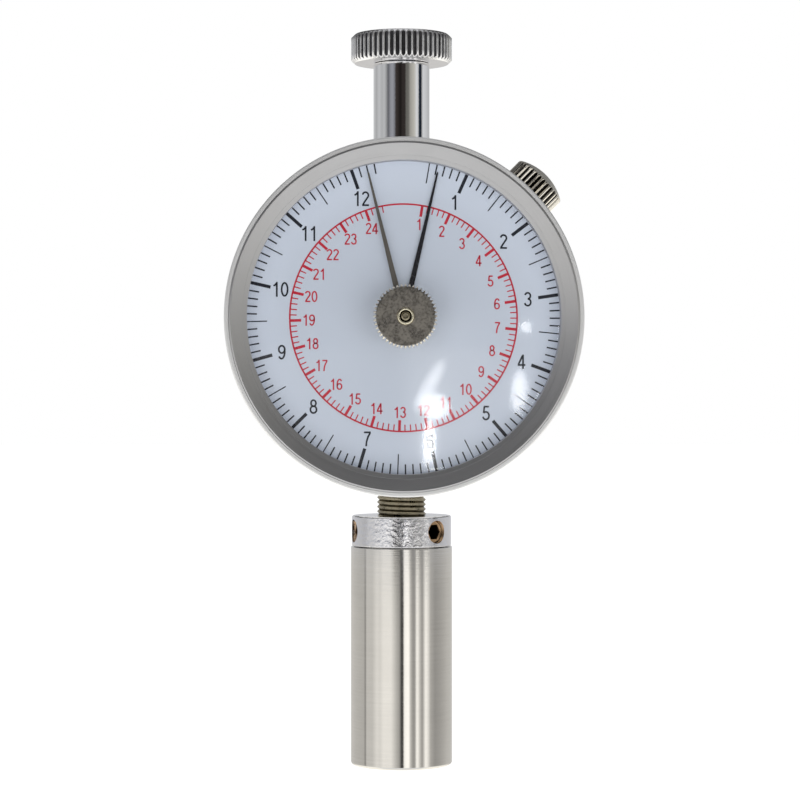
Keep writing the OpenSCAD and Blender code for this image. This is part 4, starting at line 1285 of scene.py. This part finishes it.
# %% Plunger tip
tip_low, tip_high = box_mm("plunger_tip")
tip_r = half_width("plunger_tip")
crown = 1.6
crown_r = (tip_r * tip_r + crown * crown) / (2 * crown)
crown_points = [(p.x, 2 * (tip_low.z + crown_r) - p.y, 0)
                for p in arc_points(tip_low.z + crown_r, crown_r, 0, tip_r, 14)]
mark_z = tip_low.z + 10
mark_r = tip_r - 0.3
rod_socket_r = 2.55
socket_z = tip_high.z - 6.3
tip_corners = [
    *crown_points[:-1], (tip_r, tip_low.z + crown, 0.25), (tip_r, mark_z, 0.06),
    (mark_r, mark_z, 0.05), (mark_r, mark_z + 0.5, 0.05), (tip_r, mark_z + 0.5, 0.06),
    (tip_r, tip_high.z, 0.45), (rod_socket_r, tip_high.z, 0.1), (rod_socket_r, socket_z, 0),
    (0, socket_z, 0)]
tip = turned("crowned_tip", filleted(tip_corners), ON_AXIS, "machined_steel", 128)
dress(tip, "plunger", "machined_steel", "plunger_tip")

# %% [markdown]
# ## Pieces that stay CAD
#
# The gears, plates, pins and rings inside are already true to shape, with their teeth and bores. They
# keep their CAD meshes and only get a finish.

# %% Finish the CAD pieces
slot_of = {row["node"]: row["material_slot"] for row in frame["record"]["subparts"]}
for node, piece in frame["nodes"].items():
    if piece.hide_render:
        continue
    piece.data.materials.clear()
    piece.data.materials.append(finishes[slot_of[node]])
print("CAD pieces shown:", sum(not piece.hide_render for piece in frame["nodes"].values()))

# %% [markdown]
# ## Studio
#
# Polished metal is a mirror, so the studio is what it looks like. The room is drawn in the world
# shader. Three bands of dark and light cards go round it: the cap mirrors the lowest, the collar the
# middle one and the stem the highest. The floor side is light, the ceiling is dark with a light patch
# overhead, and that shades the bezel from light above to dark below. Matt surfaces get an even light.

# %% Three bands of cards round the room
# A card is an azimuth in degrees, 0 being behind the camera, a brightness, and a tint if it has its own.
LOW_CARDS = [
    (-150, 0.62), (-103, 0.54), (-97, 0.52), (-93, 0.25), (-89, 0.66), (-72, 0.66), (-60, 0.9),
    (-52, 0.84), (-44, 1.0), (-26, 1.0), (-14, 0.6), (-7, 0.42), (-3, 0.06), (1.5, 0.04), (4, 1.2),
    (14, 1.35), (18, 0.65), (24, 0.36), (29, 0.4), (32, 1.2), (36, 1.1), (40, 0.66), (46, 0.36),
    (50, 0.7), (54, 1.2), (60, 1.0), (67, 0.5), (80, 0.36), (95, 0.42), (125, 0.58), (160, 0.62)]
MID_CARDS = [
    (-150, 0.62), (-97, 0.5), (-88, 0.62), (-60, 0.62), (-45, 0.7), (-30, 0.72), (-24, 0.5),
    (-18, 0.1), (-6, 0.06), (-1, 0.25), (4, 0.85), (11, 0.8), (15, 0.3), (22, 0.22), (28, 0.34),
    (35, 0.12), (42, 0.2), (50, 0.4), (57, 0.2), (66, 0.5), (100, 0.55), (160, 0.62)]
BROWN, BEIGE, NAVY, SLATE = (1.15, 0.95, 0.88), (1.03, 1.0, 0.9), (0.6, 0.95, 1.5), (0.97, 0.99, 1.08)
HIGH_CARDS = [
    (-150, 0.6), (-130, 0.44), (-108, 0.6), (-90, 0.49), (-78, 0.56), (-70, 0.42), (-59, 0.13, SLATE),
    (-47, 0.32, SLATE), (-38, 0.34, SLATE), (-30, 0.2, SLATE), (-26, 0.045, BROWN), (-7, 0.012, BROWN),
    (3, 0.03, BROWN), (12, 0.028, BROWN), (17, 0.14, BEIGE), (26, 0.16, BEIGE), (34, 0.36, BEIGE),
    (52, 0.54, BEIGE), (64, 0.78), (71, 0.6), (75, 0.03, NAVY), (86, 0.012, NAVY), (90, 0.3), (97, 0.72),
    (122, 0.62), (144, 0.5), (165, 0.6)]


def band(room, azimuth, cards, tint):
    """Turns the cards into a ramp all the way round the room."""
    stops = []
    for angle, level, *own in cards:
        stops.append(((angle + 180) / 360, [level * t for t in (own[0] if own else tint)]))
    return room.node("ShaderNodeValToRGB", {"stops": stops}, [(azimuth + 180) / 360])[0]


def build_room():
    world = bpy.data.worlds.new("studio")
    scene.world = world
    world.use_nodes = True
    room = Graph(world.node_tree)
    room.tree.nodes.clear()
    x, y, z = room.xyz(room.node("ShaderNodeTexCoord")["Generated"])
    azimuth = x.maths("ARCTAN2", -y) * (180 / math.pi)
    elevation = z.maths("ARCSINE") * (180 / math.pi)
    low = band(room, azimuth, LOW_CARDS, (1.0, 0.98, 0.95))
    middle = band(room, azimuth, MID_CARDS, (0.97, 0.98, 1.03))
    high = band(room, azimuth, HIGH_CARDS, (0.98, 0.99, 1.0))
    aside = room.smooth(azimuth.maths("ABSOLUTE"), 50, 75)
    floor_side = room.blend(aside, (0.88, 0.88, 0.89), (1.2, 1.17, 1.1))
    ceiling = room.blend(aside, (0.12, 0.12, 0.125), (0.025, 0.025, 0.025))
    overhead = (0.6, 0.6, 0.62)
    zones = [(-3.5, -3.3, middle), (1, 4.5, high), (-11, -30, floor_side), (13, 24, ceiling),
             (58, 68, overhead)]
    colour = low
    for start, full, zone in zones:
        colour = room.blend(room.smooth(elevation, start, full), colour, zone)
    ray = room.node("ShaderNodeLightPath")
    even = room.blend(room.smooth(z, -0.7, 0.9), (0.62, 0.62, 0.62), (0.42, 0.43, 0.45))
    colour = room.blend(ray["Is Diffuse Ray"], colour, even)
    colour = room.blend(ray["Is Camera Ray"], colour, (1, 1, 1))
    background = room.node("ShaderNodeBackground", inputs={"Color": colour, "Strength": 1.0})[0]
    room.node("ShaderNodeOutputWorld", inputs=[background])
    print("room has", len(room.tree.nodes), "nodes")


build_room()

# %% Floor and lamps
def build_floor():
    bm = bmesh.new()
    bmesh.ops.create_circle(bm, cap_ends=True, segments=96, radius=3)
    mesh = mesh_of(bm, "floor", outward=False)
    floor_finish = Finish("floor")
    floor_finish.sets(Base_Color=(0.6, 0.6, 0.6), Roughness=0.9, Emission_Color=(1, 1, 1),
                      Emission_Strength=0.85)
    mesh.materials.append(floor_finish.material)
    floor = bpy.data.objects.new("floor", mesh)
    scene.collection.objects.link(floor)
    floor.visible_glossy = False
    floor.visible_shadow = False
    print("floor laid")


def area_light(name, shape, size, power, place, turn):
    data = bpy.data.lights.new(name, "AREA")
    data.shape = shape
    data.size, data.size_y = size
    data.energy = power
    light = bpy.data.objects.new(name, data)
    light.location = place
    light.rotation_euler = turn.to_euler()
    scene.collection.objects.link(light)
    print(f"{name}: {power:.3g} W")
    return light


def lamp(name, place, aim, size, power):
    turn = (Vector(aim) - Vector(place)).to_track_quat("-Z", "Y")
    area_light(name, "DISK", (size, size), power, place, turn).visible_glossy = False


build_floor()
aim = (0, 0, dial_z / 1000)
lamp("key", (0.25, -0.75, 0.02), aim, 0.4, 0.85)
lamp("fill", (-0.25, -0.75, 0.02), aim, 0.4, 0.76)
scene.view_settings.view_transform = "Standard"

# %% [markdown]
# The highlights on the lens come from small windows and lamps in the room. They would also show in the
# chrome, where the real ones don't fall, so light linking lets each of these lamps light the lens only.
# Each is placed by the direction in which the lens mirrors it.

# %% Lamps that only the lens mirrors
lens_only = bpy.data.collections.new("lens_only")
lens_only.objects.link(dome_lens)
lens_point = Vector((0, -lens_apex, dial_z)) / 1000


def lens_lamp(name, azimuth, elevation, size_deg, roll, radiance):
    """An ellipse of light, whose size is given as the angles that it covers."""
    reach = 1.0
    a, e = math.radians(azimuth), math.radians(elevation)
    way = Vector((math.sin(a) * math.cos(e), -math.cos(a) * math.cos(e), math.sin(e)))
    width, height = (2 * reach * math.tan(math.radians(deg / 2)) for deg in size_deg)
    power = radiance * width * height * math.pi * math.pi / 4
    turn = (-way).to_track_quat("-Z", "Y").to_matrix() @ Matrix.Rotation(math.radians(roll), 3, "Z")
    light = area_light(name, "ELLIPSE", (width, height), power, lens_point + way * reach, turn)
    light.visible_camera = False
    light.light_linking.receiver_collection = lens_only


lens_lamp("diagonal_window", 6.7, -10, (2.0, 10), -28, 9)
lens_lamp("low_window", 7.8, -13.8, (5, 4.5), 0, 15)
lens_lamp("window_column", 6.9, -20.2, (1.8, 8), 0, 24)
lens_lamp("side_window", 22.8, -10.8, (2.6, 7.4), 0, 13)
lens_lamp("spot", 23.6, 0.2, (1.8, 1.6), 0, 17)
